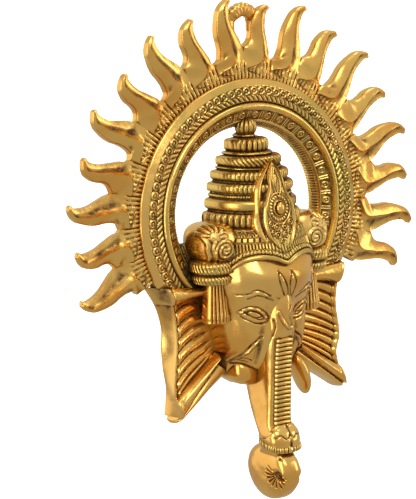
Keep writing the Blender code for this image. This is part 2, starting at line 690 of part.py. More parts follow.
def ear(side):
    """An ear: pleats fan out from the head to a raised rim, under a roll at the top and over one below."""
    down = np.linspace(0, 1, EAR_SLICES + 1)
    rim_points, low_points = (LEFT_RIM, LEFT_LOW) if side < 0 else (RIGHT_RIM, RIGHT_LOW)
    knots = np.linspace(0, 1, len(rim_points))
    rim = curve_through(knots, rim_points, down)
    inner = curve_through(knots, EAR_INNER, down)
    rows = []
    for share, outer_end, inner_end in zip(down, rim, inner):
        row = []
        pleat = math.cos(2 * math.pi * EAR_PLEATS * share)
        roll = max(0.0, 1 - share / EAR_ROLL_SHARE) + max(0.0, 1 - (1 - share) / EAR_ROLL_SHARE)
        for place in EAR_PLACES:
            point = inner_end + (outer_end - inner_end) * place
            depth = EAR_FIELD_DEPTH + (EAR_RIM_DEPTH - EAR_FIELD_DEPTH) * place**4
            fan = 4 * place * (1 - place)
            depth += fan * EAR_PLEAT_DEPTH * pleat
            depth += roll * (EAR_ROLL_DEPTH - EAR_FIELD_DEPTH) * (1 - place**4 / 2)
            row.append((point[0] * side, depth, point[1]))
        row.append(((outer_end[0] + EAR_FLARE) * side, EAR_BACK + EAR_FOOT, outer_end[1]))
        rows.append(row)
    made = [plate("ear", figure(rows), EAR_BACK)]
    across = np.linspace(0, 1, EAR_LOBE_STEPS + 1)
    low = curve_through(np.linspace(0, 1, len(low_points)), low_points, across)
    rows = []
    for share, bottom in zip(across, low):
        crest = rim[-1] + (inner[-1] - rim[-1]) * share
        row = []
        for place, drop, rise in EAR_LOBE:
            point = crest + (bottom - crest) * place
            row.append((point[0] * side, EAR_ROLL_DEPTH - drop, point[1] + rise))
        row.append((bottom[0] * side, EAR_BACK + EAR_LOBE_EDGE, bottom[1]))
        rows.append(row)
    made.append(plate("ear_lobe", figure(rows), EAR_BACK))
    return made


def cast_as_one(name, forms):
    """One casting: the first form takes all the others in by a single exact union."""
    body = forms[0]
    body.name = name
    helpers = bpy.data.collections.new("cast_forms")
    for form in forms[1:]:
        bpy.context.scene.collection.objects.unlink(form)
        helpers.objects.link(form)
        form.hide_render = True
        form.display_type = "WIRE"
    helpers.hide_render = True
    bpy.context.scene.collection.children.link(helpers)
    union = body.modifiers.new("cast_as_one", "BOOLEAN")
    union.operation = "UNION"
    union.operand_type = "COLLECTION"
    union.collection = helpers
    union.solver = "EXACT"
    return body


def gold():
    """Polished antique gold on cast metal."""
    material = bpy.data.materials.new("antique_gold")
    material.use_nodes = True
    shader = material.node_tree.nodes["Principled BSDF"]
    shader.inputs["Base Color"].default_value = GOLD
    shader.inputs["Metallic"].default_value = 1.0
    shader.inputs["Roughness"].default_value = GOLD_ROUGHNESS
    return material


def main():
    for old in list(bpy.data.objects):
        bpy.data.objects.remove(old, do_unlink=True)
    forms = [sunburst(), halo_ring(), hanging_arch()]
    forms += crown()
    forms += medallion()
    forms += face()
    forms += trunk()
    for side in (-1, 1):
        forms += side_ornament(side)
        forms.append(web(side))
        forms += ear(side)
    hanging = cast_as_one("ganesha_sun_hanging", forms)
    hanging.data.materials.append(gold())


main()
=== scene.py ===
"""The looks of the cast Ganesha wall hanging: its finely carved surfaces, its metal, light and camera.

Forms are worked out in millimetres as (across, depth in front of the wall, height above the halo's
centre), from the same sizes as the solid, and become metres in the object's own frame.
"""

import math

import bmesh
import bpy
import numpy as np
from mathutils import Matrix, Vector
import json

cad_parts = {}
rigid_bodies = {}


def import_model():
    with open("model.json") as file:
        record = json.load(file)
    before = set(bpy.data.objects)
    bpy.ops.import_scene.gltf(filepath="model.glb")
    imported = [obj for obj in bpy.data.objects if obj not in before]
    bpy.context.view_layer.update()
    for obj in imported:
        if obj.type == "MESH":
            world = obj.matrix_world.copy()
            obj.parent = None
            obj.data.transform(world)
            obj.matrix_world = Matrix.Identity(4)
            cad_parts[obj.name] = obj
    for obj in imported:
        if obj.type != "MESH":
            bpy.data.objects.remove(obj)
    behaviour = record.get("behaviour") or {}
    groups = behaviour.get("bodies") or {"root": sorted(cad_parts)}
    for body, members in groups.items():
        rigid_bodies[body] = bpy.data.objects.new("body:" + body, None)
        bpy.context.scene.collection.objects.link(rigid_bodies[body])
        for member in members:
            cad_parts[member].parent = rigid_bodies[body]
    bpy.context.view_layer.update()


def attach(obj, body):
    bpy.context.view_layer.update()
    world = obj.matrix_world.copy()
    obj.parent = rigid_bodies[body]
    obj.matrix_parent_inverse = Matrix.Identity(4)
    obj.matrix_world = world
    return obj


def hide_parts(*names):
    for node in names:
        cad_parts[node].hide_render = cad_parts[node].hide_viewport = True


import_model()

MM = 0.001
NODE = "ganesha_sun_hanging"
QUARTER = math.pi / 2
FULL = 2 * math.pi

# The halo ring
RING_INNER = 59.2
RING_OUTER = 94.5
RING_END_DROP = 50.0

# The sunburst of flame rays
RAY_COUNT = 18
RAY_PITCH = math.radians(13.08)
LONG_RAY_TIP = 152.5
SHORT_RAY_TIP = 147.0
SHARP_GAP_RADIUS = 117.0
ROUND_GAP_RADIUS = 108.5
RAY_WIDTH = 16.0
RAY_EDGE_DEPTH = 4.9
RAY_RIDGE_DEPTH = 11.2
RAY_TIP_DEPTH = 9.3
RAY_BACK_LIFT = 3.5
SUNBURST_BACK = 0.8
RING_LAP = 2.5
FLUTES_PER_RAY = 7

# The hanging arch
EYE_HALF_WIDTH = 5.3
ARCH_THICKNESS = 10.2
ARCH_SPRING = 133.0
ARCH_FRONT = 9.5
ARCH_RIBS = 11

EGG_BACK = 0.5
FACE_BACK = 0.3
HALO_DROP = ARCH_SPRING + EYE_HALF_WIDTH

# The camera stands where the photograph's did, worked out from the halo's outline
CAMERA_AZIMUTH = math.radians(-35.31)
CAMERA_ELEVATION = math.radians(8.93)
CAMERA_ROLL = math.radians(1.48)
CAMERA_DISTANCE = 1751.0
PIXELS_PER_MM = 1.3855
HALO_CENTRE_PIXEL = (242.54, 208.00)
PICTURE = (416, 499)
SENSOR = 36.0


# Curves and measures


def curve_through(knots, values, at):
    """A smooth curve through the values at the knots, read at the given places."""
    knots = np.asarray(knots, float)
    values = np.asarray(values, float)
    at = np.clip(np.asarray(at, float), knots[0], knots[-1])
    slopes = np.gradient(values, knots, axis=0)
    index = np.clip(np.searchsorted(knots, at, side="right") - 1, 0, len(knots) - 2)
    step = knots[index + 1] - knots[index]
    share = (at - knots[index]) / step
    if values.ndim == 2:
        step = step[..., None]
        share = share[..., None]
    rise = 3 * share**2 - 2 * share**3
    start_slope = (share - 2 * share**2 + share**3) * step
    end_slope = (share**3 - share**2) * step
    level = values[index] * (1 - rise) + values[index + 1] * rise
    return level + slopes[index] * start_slope + slopes[index + 1] * end_slope


def read(table, heights):
    """A table's other columns at the given heights; its first column is a falling height."""
    table = np.asarray(table, float)
    return curve_through(-table[:, 0], table[:, 1:], -heights)


def levels(table, count):
    """Evenly spaced heights down a table, as a column, and the table's other columns there."""
    heights = np.linspace(table[0][0], table[-1][0], count)
    return heights[:, None], read(table, heights)


def ramp(low, high, value):
    """0 below low, 1 above high and a smooth rise between; low may be the larger."""
    share = np.clip((value - low) / (high - low), 0, 1)
    return share * share * (3 - 2 * share)


def between(value, band):
    """1 inside a band and 0 outside it; the band is (start, full from, full to, end)."""
    start, full_from, full_to, end = band
    return ramp(start, full_from, value) * ramp(end, full_to, value)


def hump(offset, width):
    """1 at no offset, falling away over the width."""
    return np.exp(-((offset / width) ** 2))


def rounded(offset, reach, power=2.0):
    """The height of a rounded bead: 1 at its middle and 0 at its reach."""
    return np.sqrt(np.clip(1 - abs(offset / reach) ** power, 0, 1))


def squared(value, power):
    """The value with its size raised to a power; below 1 it makes a round form boxier."""
    return np.sign(value) * abs(value) ** power


def in_pitch(along, pitch):
    """How far a place is from the middle of the repeat that it falls in."""
    return ((along / pitch) % 1 - 0.5) * pitch


def polar(x, z, centre):
    """The distance and the angle of each place, seen from a centre."""
    x, z = x - centre[0], z - centre[1]
    return np.hypot(x, z), np.arctan2(z, x)


def turns(around, start=0.0):
    """Evenly spaced angles of a full turn."""
    return (np.arange(around) + start) * FULL / around


def stacked(across, depth, height):
    """Points from their coordinates, each spread over the whole grid."""
    return np.stack(np.broadcast_arrays(across, depth, height), axis=-1)


def from_line(x, z, points, pieces=10):
    """The distance from each place to a smooth line through the points."""
    knots = np.arange(len(points))
    line = curve_through(knots, points, np.linspace(0, knots[-1], knots[-1] * pieces + 1))
    nearest = np.full(np.shape(x), np.inf)
    for start, end in zip(line[:-1], line[1:]):
        run = end - start
        along = ((x - start[0]) * run[0] + (z - start[1]) * run[1]) / max(run @ run, 1e-12)
        along = np.clip(along, 0, 1)
        gap = np.hypot(x - start[0] - along * run[0], z - start[1] - along * run[1])
        nearest = np.minimum(nearest, gap)
    return nearest


def lines_cut(x, z, lines, width, depth):
    """Grooves (or ridges, with a negative depth) along smooth lines."""
    return -depth * sum(hump(from_line(x, z, points), width) for points in lines)


def unevenness(points, size, amount):
    """The slight waviness of a hand-finished casting, the same on every run."""
    x, y, z = (points[..., axis] / size for axis in range(3))
    wave = np.sin(1.9 * x + 1.3 * z + 0.7 * y) * np.sin(1.1 * z - 1.7 * y + 0.4)
    wave += 0.6 * np.sin(3.1 * x - 2.3 * z + 1.9) * np.sin(2.7 * z + 3.3 * y)
    wave += 0.4 * np.sin(5.3 * z + 4.1 * x + 2.0) * np.cos(4.7 * x - 3.9 * y)
    return amount * wave / 2


# Meshes

# How hollows are found, near and further off: (turns of blurring, weight)
HOLLOW_REACHES = ((3, 3.0), (14, 0.6))
MERGE_DISTANCE = 0.000004
SHORTEST_EDGE = 0.000002
SHARP_ANGLE = 42.0


def outward(grid, wrap):
    """A grid's unit normals, turned away from the form's inside."""
    if wrap:
        across = np.roll(grid, -1, axis=1) - np.roll(grid, 1, axis=1)
    else:
        across = np.gradient(grid, axis=1)
    normal = np.cross(across, np.gradient(grid, axis=0))
    normal = normal / np.maximum(np.linalg.norm(normal, axis=-1, keepdims=True), 1e-9)
    if wrap:
        side = np.sign(((grid - grid.mean(axis=1, keepdims=True)) * normal).sum())
    else:
        side = np.sign(normal[..., 1].sum())
    return normal * (side or 1.0)


def blurred(grid, wrap, times):
    """The grid with each point drawn to the middle of its neighbours, so many times."""
    for _ in range(times):
        padded = np.pad(grid, ((1, 1), (0, 0), (0, 0)), mode="edge")
        grid = (padded[:-2] + 2 * padded[1:-1] + padded[2:]) / 4
        padded = np.pad(grid, ((0, 0), (1, 1), (0, 0)), mode="wrap" if wrap else "edge")
        grid = (padded[:, :-2] + 2 * padded[:, 1:-1] + padded[:, 2:]) / 4
    return grid


def hollowness(grid, wrap):
    """How far each point lies below its surroundings, weighted, in millimetres."""
    normal = outward(grid, wrap)
    depths = [((blurred(grid, wrap, times) - grid) * normal).sum(axis=-1) for times, _ in HOLLOW_REACHES]
    return sum(depth * weight for depth, (_, weight) in zip(depths, HOLLOW_REACHES))


def pushed(grid, relief, wrap=True):
    """The grid moved out along its normals by the relief."""
    return grid + outward(grid, wrap) * relief[..., None]


def grid_faces(rows, columns, first=0, wrap=False):
    """Quads between neighbouring points of a grid whose points are numbered row by row."""
    row = np.arange(rows - 1)[:, None]
    column = np.arange(columns if wrap else columns - 1)[None, :]
    following = (column + 1) % columns
    corners = [
        row * columns + column,
        row * columns + following,
        (row + 1) * columns + following,
        (row + 1) * columns + column,
    ]
    return (first + np.stack(corners, axis=-1).reshape(-1, 4)).tolist()


def shell_faces(rows, columns, first=0, left_from=0, right_from=0):
    """Faces of a front grid, of its back two columns wide and of the walls between them.

    The back's points follow the front's. A side wall may start lower down, below an edge that is shared.
    """
    low = first + rows * columns
    faces = grid_faces(rows, columns, first) + grid_faces(rows, 2, low)
    for row in (0, rows - 1):
        start = first + row * columns
        under = low + row * 2
        faces.append([*range(start, start + columns), under + 1, under])
    for side, start_row, column in ((0, left_from, 0), (1, right_from, columns - 1)):
        for row in range(start_row, rows - 1):
            here = first + row * columns + column
            under = low + row * 2 + side
            faces.append([here, here + columns, under + 2, under])
    return faces


def new_piece(name, points, faces, hollow, material, sharp=SHARP_ANGLE):
    """A closed mesh object from halo coordinates, with its hollows stored for its patina and, in places,
    painted shade.
    """
    points = np.asarray(points, float).reshape(-1, 3)
    placed = np.stack([points[:, 0], -points[:, 1], points[:, 2] - HALO_DROP], axis=-1) * MM
    mesh = bpy.data.meshes.new(name)
    mesh.from_pydata(placed.tolist(), [], faces)
    layer = mesh.attributes.new("hollow", "FLOAT", "POINT")
    layer.data.foreach_set("value", np.asarray(hollow, np.float32).ravel())
    shape = bmesh.new()
    shape.from_mesh(mesh)
    bmesh.ops.remove_doubles(shape, verts=shape.verts, dist=MERGE_DISTANCE)
    bmesh.ops.dissolve_degenerate(shape, edges=shape.edges, dist=SHORTEST_EDGE)
    bmesh.ops.recalc_face_normals(shape, faces=shape.faces)
    if shape.calc_volume(signed=True) < 0:
        bmesh.ops.reverse_faces(shape, faces=shape.faces)
    shape.to_mesh(mesh)
    shape.free()
    mesh.shade_smooth()
    mesh.set_sharp_from_angle(angle=math.radians(sharp))
    piece = bpy.data.objects.new(name, mesh)
    bpy.context.scene.collection.objects.link(piece)
    mesh.materials.append(material)
    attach(piece, "root")
    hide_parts(NODE)


def loft(name, rings, material, added_darkening=0.0):
    """A closed solid through rings of points, with a flat cap at each end."""
    count, around = rings.shape[:2]
    faces = grid_faces(count, around, wrap=True)
    faces.append(list(range(around)))
    faces.append(list(range((count - 1) * around, count * around)))
    new_piece(name, rings, faces, hollowness(rings, True) + added_darkening, material)


def plate(name, front, back_depth, material, added_darkening=0.0):
    """A closed solid between a front grid and a flat back at one depth, with walls round its edge."""
    rows, columns = front.shape[:2]
    back = front[:, [0, -1]].copy()
    back[..., 1] = back_depth
    hollow = np.concatenate([(hollowness(front, False) + added_darkening).ravel(), np.zeros(rows * 2)])
    points = np.concatenate([front.reshape(-1, 3), back.reshape(-1, 3)])
    new_piece(name, points, shell_faces(rows, columns), hollow, material)


def off_the_wall(grid):
    """The grid with nothing nearer the wall than an egg's flat back."""
    grid[..., 1] = np.maximum(grid[..., 1], EGG_BACK)
    return grid


def egg_grid(centre, radii, around, steps, power=1.0):
    """Rings of a closed ellipsoid or a boxier one, flattened where it would pass the wall."""
    tilt = np.linspace(0, math.pi, steps + 1)[:, None]
    turn = turns(around)[None, :]
    size = squared(np.sin(tilt), power)
    across = centre[0] + radii[0] * size * squared(np.cos(turn), power)
    depth = centre[1] + radii[1] * size * squared(np.sin(turn), power)
    return off_the_wall(stacked(across, depth, centre[2] + radii[2] * squared(np.cos(tilt), power)))


# Materials

# Painted light: a lighter gold given to the dome alone, for the highlight it catches
PAINTED_LIGHT_GOLD = (0.90, 0.58, 0.17, 1.0)
BRIGHT_GOLD = (0.80, 0.48, 0.125, 1.0)
WARM_GOLD = (0.74, 0.38, 0.08, 1.0)
OLIVE_GOLD = (0.62, 0.42, 0.10, 1.0)
SOFT_GOLD = (0.77, 0.46, 0.115, 1.0)
DEEP_GOLD = (0.60, 0.36, 0.088, 1.0)
# The patina's dark brown, which also paints the shade in shut-in places
PATINA_AND_SHADE_BROWN = (0.090, 0.040, 0.012, 1.0)
# Marks per metre, from the broad patches of colour to the fine grain
PATCH_SCALE = 26.0
CLUSTER_SCALE = 46.0
PIT_SCALE = 210.0
GRAIN_SCALE = 260.0
FINE_SCALE = 1100.0
SHADE_REACH = 0.009
BUMP_STRENGTH = 0.22
BUMP_HEIGHT = 0.0003
DARKENED_ROUGHNESS = 0.62
DARKENED_METALLIC = 0.85


def plug(tree, value, socket):
    """Sets a socket from a plain value or from another node's output."""
    if isinstance(value, bpy.types.NodeSocket):
        tree.links.new(value, socket)
    else:
        socket.default_value = value


def node(tree, kind, **values):
    """A new shader node with its settings."""
    made = tree.nodes.new(kind)
    for key, value in values.items():
        setattr(made, key, value)
    return made


def mixed(tree, factor, first, second):
    """A colour between two."""
    mix = node(tree, "ShaderNodeMix", data_type="RGBA")
    for index, value in ((0, factor), (6, first), (7, second)):
        plug(tree, value, mix.inputs[index])
    return mix.outputs[2]


def ranged(tree, value, low, high, to_low=0.0, to_high=1.0):
    """A value carried from one range to another, and held inside it."""
    made = node(tree, "ShaderNodeMapRange", interpolation_type="SMOOTHSTEP")
    for index, number in enumerate((value, low, high, to_low, to_high)):
        plug(tree, number, made.inputs[index])
    return made.outputs[0]


def noise(tree, place, scale, detail, rough=0.55):
    """A noise pattern between 0 and 1."""
    made = node(tree, "ShaderNodeTexNoise")
    for key, value in (("Vector", place), ("Scale", scale), ("Detail", detail), ("Roughness", rough)):
        plug(tree, value, made.inputs[key])
    return made.outputs["Fac"]


def maths(tree, operation, first, *others):
    """The values combined one after another, and held between 0 and 1."""
    for value in others:
        made = node(tree, "ShaderNodeMath", operation=operation, use_clamp=True)
        plug(tree, first, made.inputs[0])
        plug(tree, value, made.inputs[1])
        first = made.outputs[0]
    return first


def gold(name, bright, warm, patina, rough, pits=0.0, shade_share=0.95):
    """Polished antique gold: two golds in patches, brown patina in the hollows and fine casting marks.

    The patina range says how deep a hollow is where it starts and where it is full. Pits says how much of it
    scattered pits take, and the shade share how much painted shade darkens the shut-in places.
    """
    material = bpy.data.materials.new(name)
    material.use_nodes = True
    tree = material.node_tree
    shader = tree.nodes["Principled BSDF"]
    place = node(tree, "ShaderNodeTexCoord").outputs["Object"]
    hollow = node(tree, "ShaderNodeAttribute", attribute_name="hollow").outputs["Fac"]
    patches = ranged(tree, noise(tree, place, PATCH_SCALE, 3.0), 0.40, 0.62)
    grain = noise(tree, place, GRAIN_SCALE, 5.0, 0.6)
    fine = noise(tree, place, FINE_SCALE, 3.0)
    metal = mixed(tree, patches, bright, warm)
    # Darkening: patina in the hollows, painted shade where walls stand near and stains in scattered pits
    broken = ranged(tree, grain, 0.30, 0.62, 0.55, 1.0)
    darkening = maths(tree, "MULTIPLY", ranged(tree, hollow, *patina), broken)
    # Painted shade: ambient occlusion darkens the metal towards the patina brown where walls stand near
    around = node(tree, "ShaderNodeAmbientOcclusion", samples=6)
    around.inputs["Distance"].default_value = SHADE_REACH
    occlusion_shade = ranged(tree, around.outputs["AO"], 0.80, 0.36)
    darkening = maths(tree, "MAXIMUM", darkening, maths(tree, "MULTIPLY", occlusion_shade, shade_share))
    if pits:
        spots = node(tree, "ShaderNodeTexVoronoi")
        plug(tree, place, spots.inputs["Vector"])
        spots.inputs["Scale"].default_value = PIT_SCALE
        near = ranged(tree, spots.outputs["Distance"], 0.26, 0.10)
        few = ranged(tree, noise(tree, place, CLUSTER_SCALE, 2.0), 0.61, 0.68)
        darkening = maths(tree, "MAXIMUM", darkening, maths(tree, "MULTIPLY", near, few, pits))
    worn = ranged(tree, grain, 0.3, 0.7, *rough)
    dulled = maths(tree, "MAXIMUM", worn, ranged(tree, darkening, 0.1, 1.0, 0.0, DARKENED_ROUGHNESS))
    bump = node(tree, "ShaderNodeBump")
    bump.inputs["Strength"].default_value = BUMP_STRENGTH
    bump.inputs["Distance"].default_value = BUMP_HEIGHT
    marks = maths(tree, "ADD", maths(tree, "MULTIPLY", grain, 0.6), maths(tree, "MULTIPLY", fine, 0.4))
    plug(tree, marks, bump.inputs["Height"])
    plug(tree, mixed(tree, darkening, metal, PATINA_AND_SHADE_BROWN), shader.inputs["Base Color"])
    plug(tree, ranged(tree, darkening, 0.0, 1.0, 1.0, DARKENED_METALLIC), shader.inputs["Metallic"])
    plug(tree, dulled, shader.inputs["Roughness"])
    plug(tree, bump.outputs["Normal"], shader.inputs["Normal"])
    return material


POLISHED = gold("polished_gold", BRIGHT_GOLD, WARM_GOLD, (0.05, 0.36), (0.13, 0.21), shade_share=0.6)
RAY_GOLD = gold("ray_gold", SOFT_GOLD, WARM_GOLD, (0.14, 0.55), (0.20, 0.30), pits=0.9, shade_share=0.25)
CARVED = gold("carved_gold", BRIGHT_GOLD, OLIVE_GOLD, (0.02, 0.24), (0.17, 0.28))
CROWN_GOLD = gold("crown_gold", DEEP_GOLD, OLIVE_GOLD, (-0.02, 0.20), (0.22, 0.34))
# The dome's lighter gold is painted light
DOME_GOLD = gold("dome_gold", PAINTED_LIGHT_GOLD, BRIGHT_GOLD, (0.16, 0.50), (0.20, 0.30), shade_share=0.35)
EAR_GOLD = gold("ear_gold", BRIGHT_GOLD, WARM_GOLD, (0.09, 0.40), (0.18, 0.28), pits=0.4, shade_share=0.35)


# The flame rays

# Between the ring and the gap: (share of the way, ridge's place in widths, edge depth, ridge depth)
RAY_FOOT = np.array(
    [
        (0.0, 0.0, 8.0, 8.0),
        (0.22, -0.06, 8.0, 8.0),
        (0.42, -0.70, 7.8, 8.0),
        (0.49, -0.58, 7.6, 8.8),
        (0.54, -0.34, 7.3, 9.6),
        (0.61, -0.12, 6.9, 10.4),
        (0.72, 0.02, 6.3, 11.0),
        (0.86, 0.08, 5.6, 11.2),
        (1.0, 0.08, 4.9, 11.2),
    ]
)
# Between the gap and the tip: (share of the way, left edge, ridge, right edge), in widths
FLAME = np.array(
    [
        (0.0, -0.80, 0.08, 0.84),
        (0.12, -0.57, 0.03, 0.74),
        (0.30, -0.50, -0.02, 0.53),
        (0.50, -0.54, -0.13, 0.32),
        (0.70, -0.47, -0.17, 0.24),
        (0.87, -0.30, -0.10, 0.27),
        (0.97, -0.02, 0.17, 0.38),
        (1.0, 0.12, 0.2, 0.30),
    ]
)
LEFT_LINE, RIDGE_LINE, RIGHT_LINE = 1, 2, 3
GAP_SHARE = 0.12
SHARP_GAP_BEND = 1.4
ROUND_GAP_INSET = 0.13
ROUND_GAP_REACH = 0.4
RIDGE_CLEARANCE = 0.25
TIP_START = 0.93
TIP_BLUNTNESS = 0.25
TONGUE_BOW = 0.45
VALLEY_BOW = 3.2
FLUTE_DEPTH = 1.3
FLUTE_STAIN = 0.75
# The flutes fade out between these radii, and sooner on a ray's tongue, which starts some columns in
FLUTE_END = (108.0, 103.0)
TONGUE_FLUTE_END = (103.0, 100.5)
TONGUE_COLUMN = 4
# The painted shade in the hollow of a ray, beyond its ridge, counted in facets from its left edge
VALLEY_PLACE = 1.32
VALLEY_WIDTH = 0.24
VALLEY_SHADE = 0.36
RAY_FOOT_ROWS = 28
RAY_ROWS = 34
RAY_COLUMNS = 25
RAY_SHARP_ANGLE = 34.0


def gap_radius(ray, side):
    """The radius of the gap on this side of a ray: sharp and round gaps take turns."""
    long_ray = ray % 2 == 0
    sharp = long_ray if side > 0 else not long_ray
    return SHARP_GAP_RADIUS if sharp else ROUND_GAP_RADIUS


def flame_line(line, share):
    """How far one of the flame's lines lies from the ray's axis."""
    return RAY_WIDTH * curve_through(FLAME[:, 0], FLAME[:, line], share)


def edge_offset(share, side, gap):
    """How far a ray's edge lies from its axis: round its gap first, then along the flame's wavy line."""
    round_gap = gap == ROUND_GAP_RADIUS
    inset = RAY_WIDTH * ROUND_GAP_INSET * round_gap * max(0, 1 - share / ROUND_GAP_REACH)
    offset = flame_line(LEFT_LINE if side < 0 else RIGHT_LINE, max(share, GAP_SHARE)) - side * inset
    left_over = max(0, 1 - share / GAP_SHARE)
    bend = 1 - math.sqrt(1 - left_over**2) if round_gap else left_over**SHARP_GAP_BEND
    return offset + (side * gap * RAY_PITCH / 2 - offset) * bend


def foot_stations(gaps):
    """The ray's foot under the ring and up to its gaps, as (left edge, ridge, right edge) by row."""
    start = RING_OUTER - RING_LAP
    stations = []
    for way in np.linspace(0, 1, RAY_FOOT_ROWS, endpoint=False):
        place, edge, ridge = curve_through(RAY_FOOT[:, 0], RAY_FOOT[:, 1:], way)
        left, right = (start + (gap - start) * way for gap in gaps)
        left_offset = -left * RAY_PITCH / 2
        crest = max(place * RAY_WIDTH, left_offset + RIDGE_CLEARANCE)
        stations.append(
            (
                (left, left_offset, edge),
                ((left + right) / 2, crest, ridge),
                (right, right * RAY_PITCH / 2, edge),
            )
        )
    return stations


def flame_stations(gaps, tip):
    """The free part of a ray from its gaps to its tip, as (left edge, ridge, right edge) by row."""
    starts = (gaps[0], sum(gaps) / 2, gaps[1])
    stations = []
    for share in 1 - (1 - np.linspace(0, 1, RAY_ROWS)) ** 1.15:
        past = max(0, share - TIP_START) / (1 - TIP_START)
        end = TIP_BLUNTNESS + (1 - TIP_BLUNTNESS) * math.sqrt(max(0, 1 - past**2))
        ridge = flame_line(RIDGE_LINE, share)
        edges = [edge_offset(share, side, gap) for side, gap in zip((-1, 1), gaps)]
        left, right = (ridge + (offset - ridge) * end for offset in edges)
        edge_depth = RAY_EDGE_DEPTH + (RAY_TIP_DEPTH - RAY_EDGE_DEPTH) * share**1.5 * 0.6
        ridge_depth = RAY_RIDGE_DEPTH + (RAY_TIP_DEPTH - RAY_RIDGE_DEPTH) * share**2
        ridge_depth = edge_depth + (ridge_depth - edge_depth) * end
        radii = [start + (tip - start) * share for start in starts]
        stations.append(tuple(zip(radii, (left, ridge, right), (edge_depth, ridge_depth, edge_depth))))
    return stations


def ray_grid(ray):
    """The front of a ray from under the ring to its tip, the stain in its flutes and the painted shade in
    its hollow.
    """
    tip = LONG_RAY_TIP if ray % 2 == 0 else SHORT_RAY_TIP
    gaps = [gap_radius(ray, -1), gap_radius(ray, 1)]
    stations = np.array(foot_stations(gaps) + flame_stations(gaps, tip))
    left, crest, right = (stations[:, index][:, None, :] for index in range(3))
    share = np.linspace(0, 1, RAY_COLUMNS)[None, :, None]
    grown = np.minimum(np.arange(len(stations)) / RAY_FOOT_ROWS, 1)[:, None]
    bow = TONGUE_BOW + (1 - TONGUE_BOW) * ramp(1.0, 0.6, grown)
    inner = left + (crest - left) * share
    inner[..., 2] = left[..., 2] + (crest[..., 2] - left[..., 2]) * share[..., 0] ** bow
    outer = crest + (right - crest) * share
    outer[..., 2] = right[..., 2] + (crest[..., 2] - right[..., 2]) * (1 - share[..., 0]) ** VALLEY_BOW
    radius, offset, depth = np.moveaxis(np.concatenate([inner, outer[:, 1:]], axis=1), -1, 0)
    turn = offset / radius
    flute = 1 - abs(np.sin(math.pi * FLUTES_PER_RAY * (turn / RAY_PITCH + 0.5))) ** 0.75
    tongue = np.concatenate([ramp(0, TONGUE_COLUMN, np.arange(RAY_COLUMNS)), np.zeros(RAY_COLUMNS - 1)])
    reach = (1 - tongue) * ramp(*FLUTE_END, radius) + tongue * ramp(*TONGUE_FLUTE_END, radius)
    angle = (ray - (RAY_COUNT - 1) / 2) * RAY_PITCH + turn
    points = stacked(radius * np.sin(angle), depth - FLUTE_DEPTH * flute * reach, radius * np.cos(angle))
    points[..., 1] += unevenness(points, 6.5, 0.16) * ramp(96, 110, radius)
    # Painted shade along the concave facet beyond the ridge, on the free part of the flame
    valley = hump(np.arange(2 * RAY_COLUMNS - 1) / RAY_COLUMNS - VALLEY_PLACE, VALLEY_WIDTH)
    valley = valley * between(radius, (104, 110, tip - 24, tip - 4))
    return points, FLUTE_STAIN * flute * reach + VALLEY_SHADE * valley


def ray_hollows(front):
    """A ray's hollows in soft patches, left out along its thin edges."""
    last = front.shape[1] - 1
    hollow = blurred(hollowness(front, False)[..., None], False, 4)[..., 0]
    return hollow * between(np.arange(last + 1), (2, 8, last - 6, last))


def sunburst():
    """All the rays on their common ring of flutes: neighbours share their edge up to the gap."""
    points = []
    hollow = []
    faces = []
    count = 0
    for ray in range(RAY_COUNT):
        front, added_darkening = ray_grid(ray)
        rows, columns = front.shape[:2]
        back = front[:, [0, -1]].copy()
        share = np.clip((np.arange(rows) - RAY_FOOT_ROWS) / (rows - 1 - RAY_FOOT_ROWS), 0, 1)
        back[..., 1] = (SUNBURST_BACK + RAY_BACK_LIFT * share**2)[:, None]
        left_from = RAY_FOOT_ROWS if ray else 0
        right_from = RAY_FOOT_ROWS if ray < RAY_COUNT - 1 else 0
        faces += shell_faces(rows, columns, count, left_from, right_from)
        count += rows * (columns + 2)
        points += [front.reshape(-1, 3), back.reshape(-1, 3)]
        hollow += [(ray_hollows(front) + added_darkening).ravel(), np.zeros(rows * 2)]
    points = np.concatenate(points)
    new_piece("flame_rays", points, faces, np.concatenate(hollow), RAY_GOLD, RAY_SHARP_ANGLE)


# The ring

RING_PROFILE = np.array(
    [
        (RING_INNER, 0.0),
        (62.4, 6.4),
        (63.4, 6.9),
        (64.2, 8.2),
        (72.4, 13.0),
        (77.8, 12.4),
        (78.4, 13.2),
        (88.6, 13.2),
        (89.6, 12.6),
        (94.0, 10.2),
        (RING_OUTER, 9.0),
        (RING_OUTER, 0.0),
    ]
)
RING_STEPS = 900
RING_ROWS = 102
MILLING_PITCH = math.radians(1.9)
# Each band of ornament lies between radii, as (start, full from, full to, end)
ANNULET_BAND = (64.3, 65.0, 71.7, 72.4)
ANNULET_RADIUS = 68.2
ANNULET_PITCH = math.radians(9.5) * ANNULET_RADIUS
CREST_RADIUS = 75.1
CREST_HALF_WIDTH = 2.45
CREST_LIFT = 2.9
STROKE_BAND = (78.3, 78.9, 82.4, 83.0)
STROKE_PITCH = math.radians(2.93)
STROKE_RADIUS = 81.0
STROKE_LEAN = 5.2
CURL_BAND = (82.4, 83.0, 88.7, 89.2)
CURL_RADIUS = 85.9
CURL_PITCH = math.radians(4.4) * CURL_RADIUS


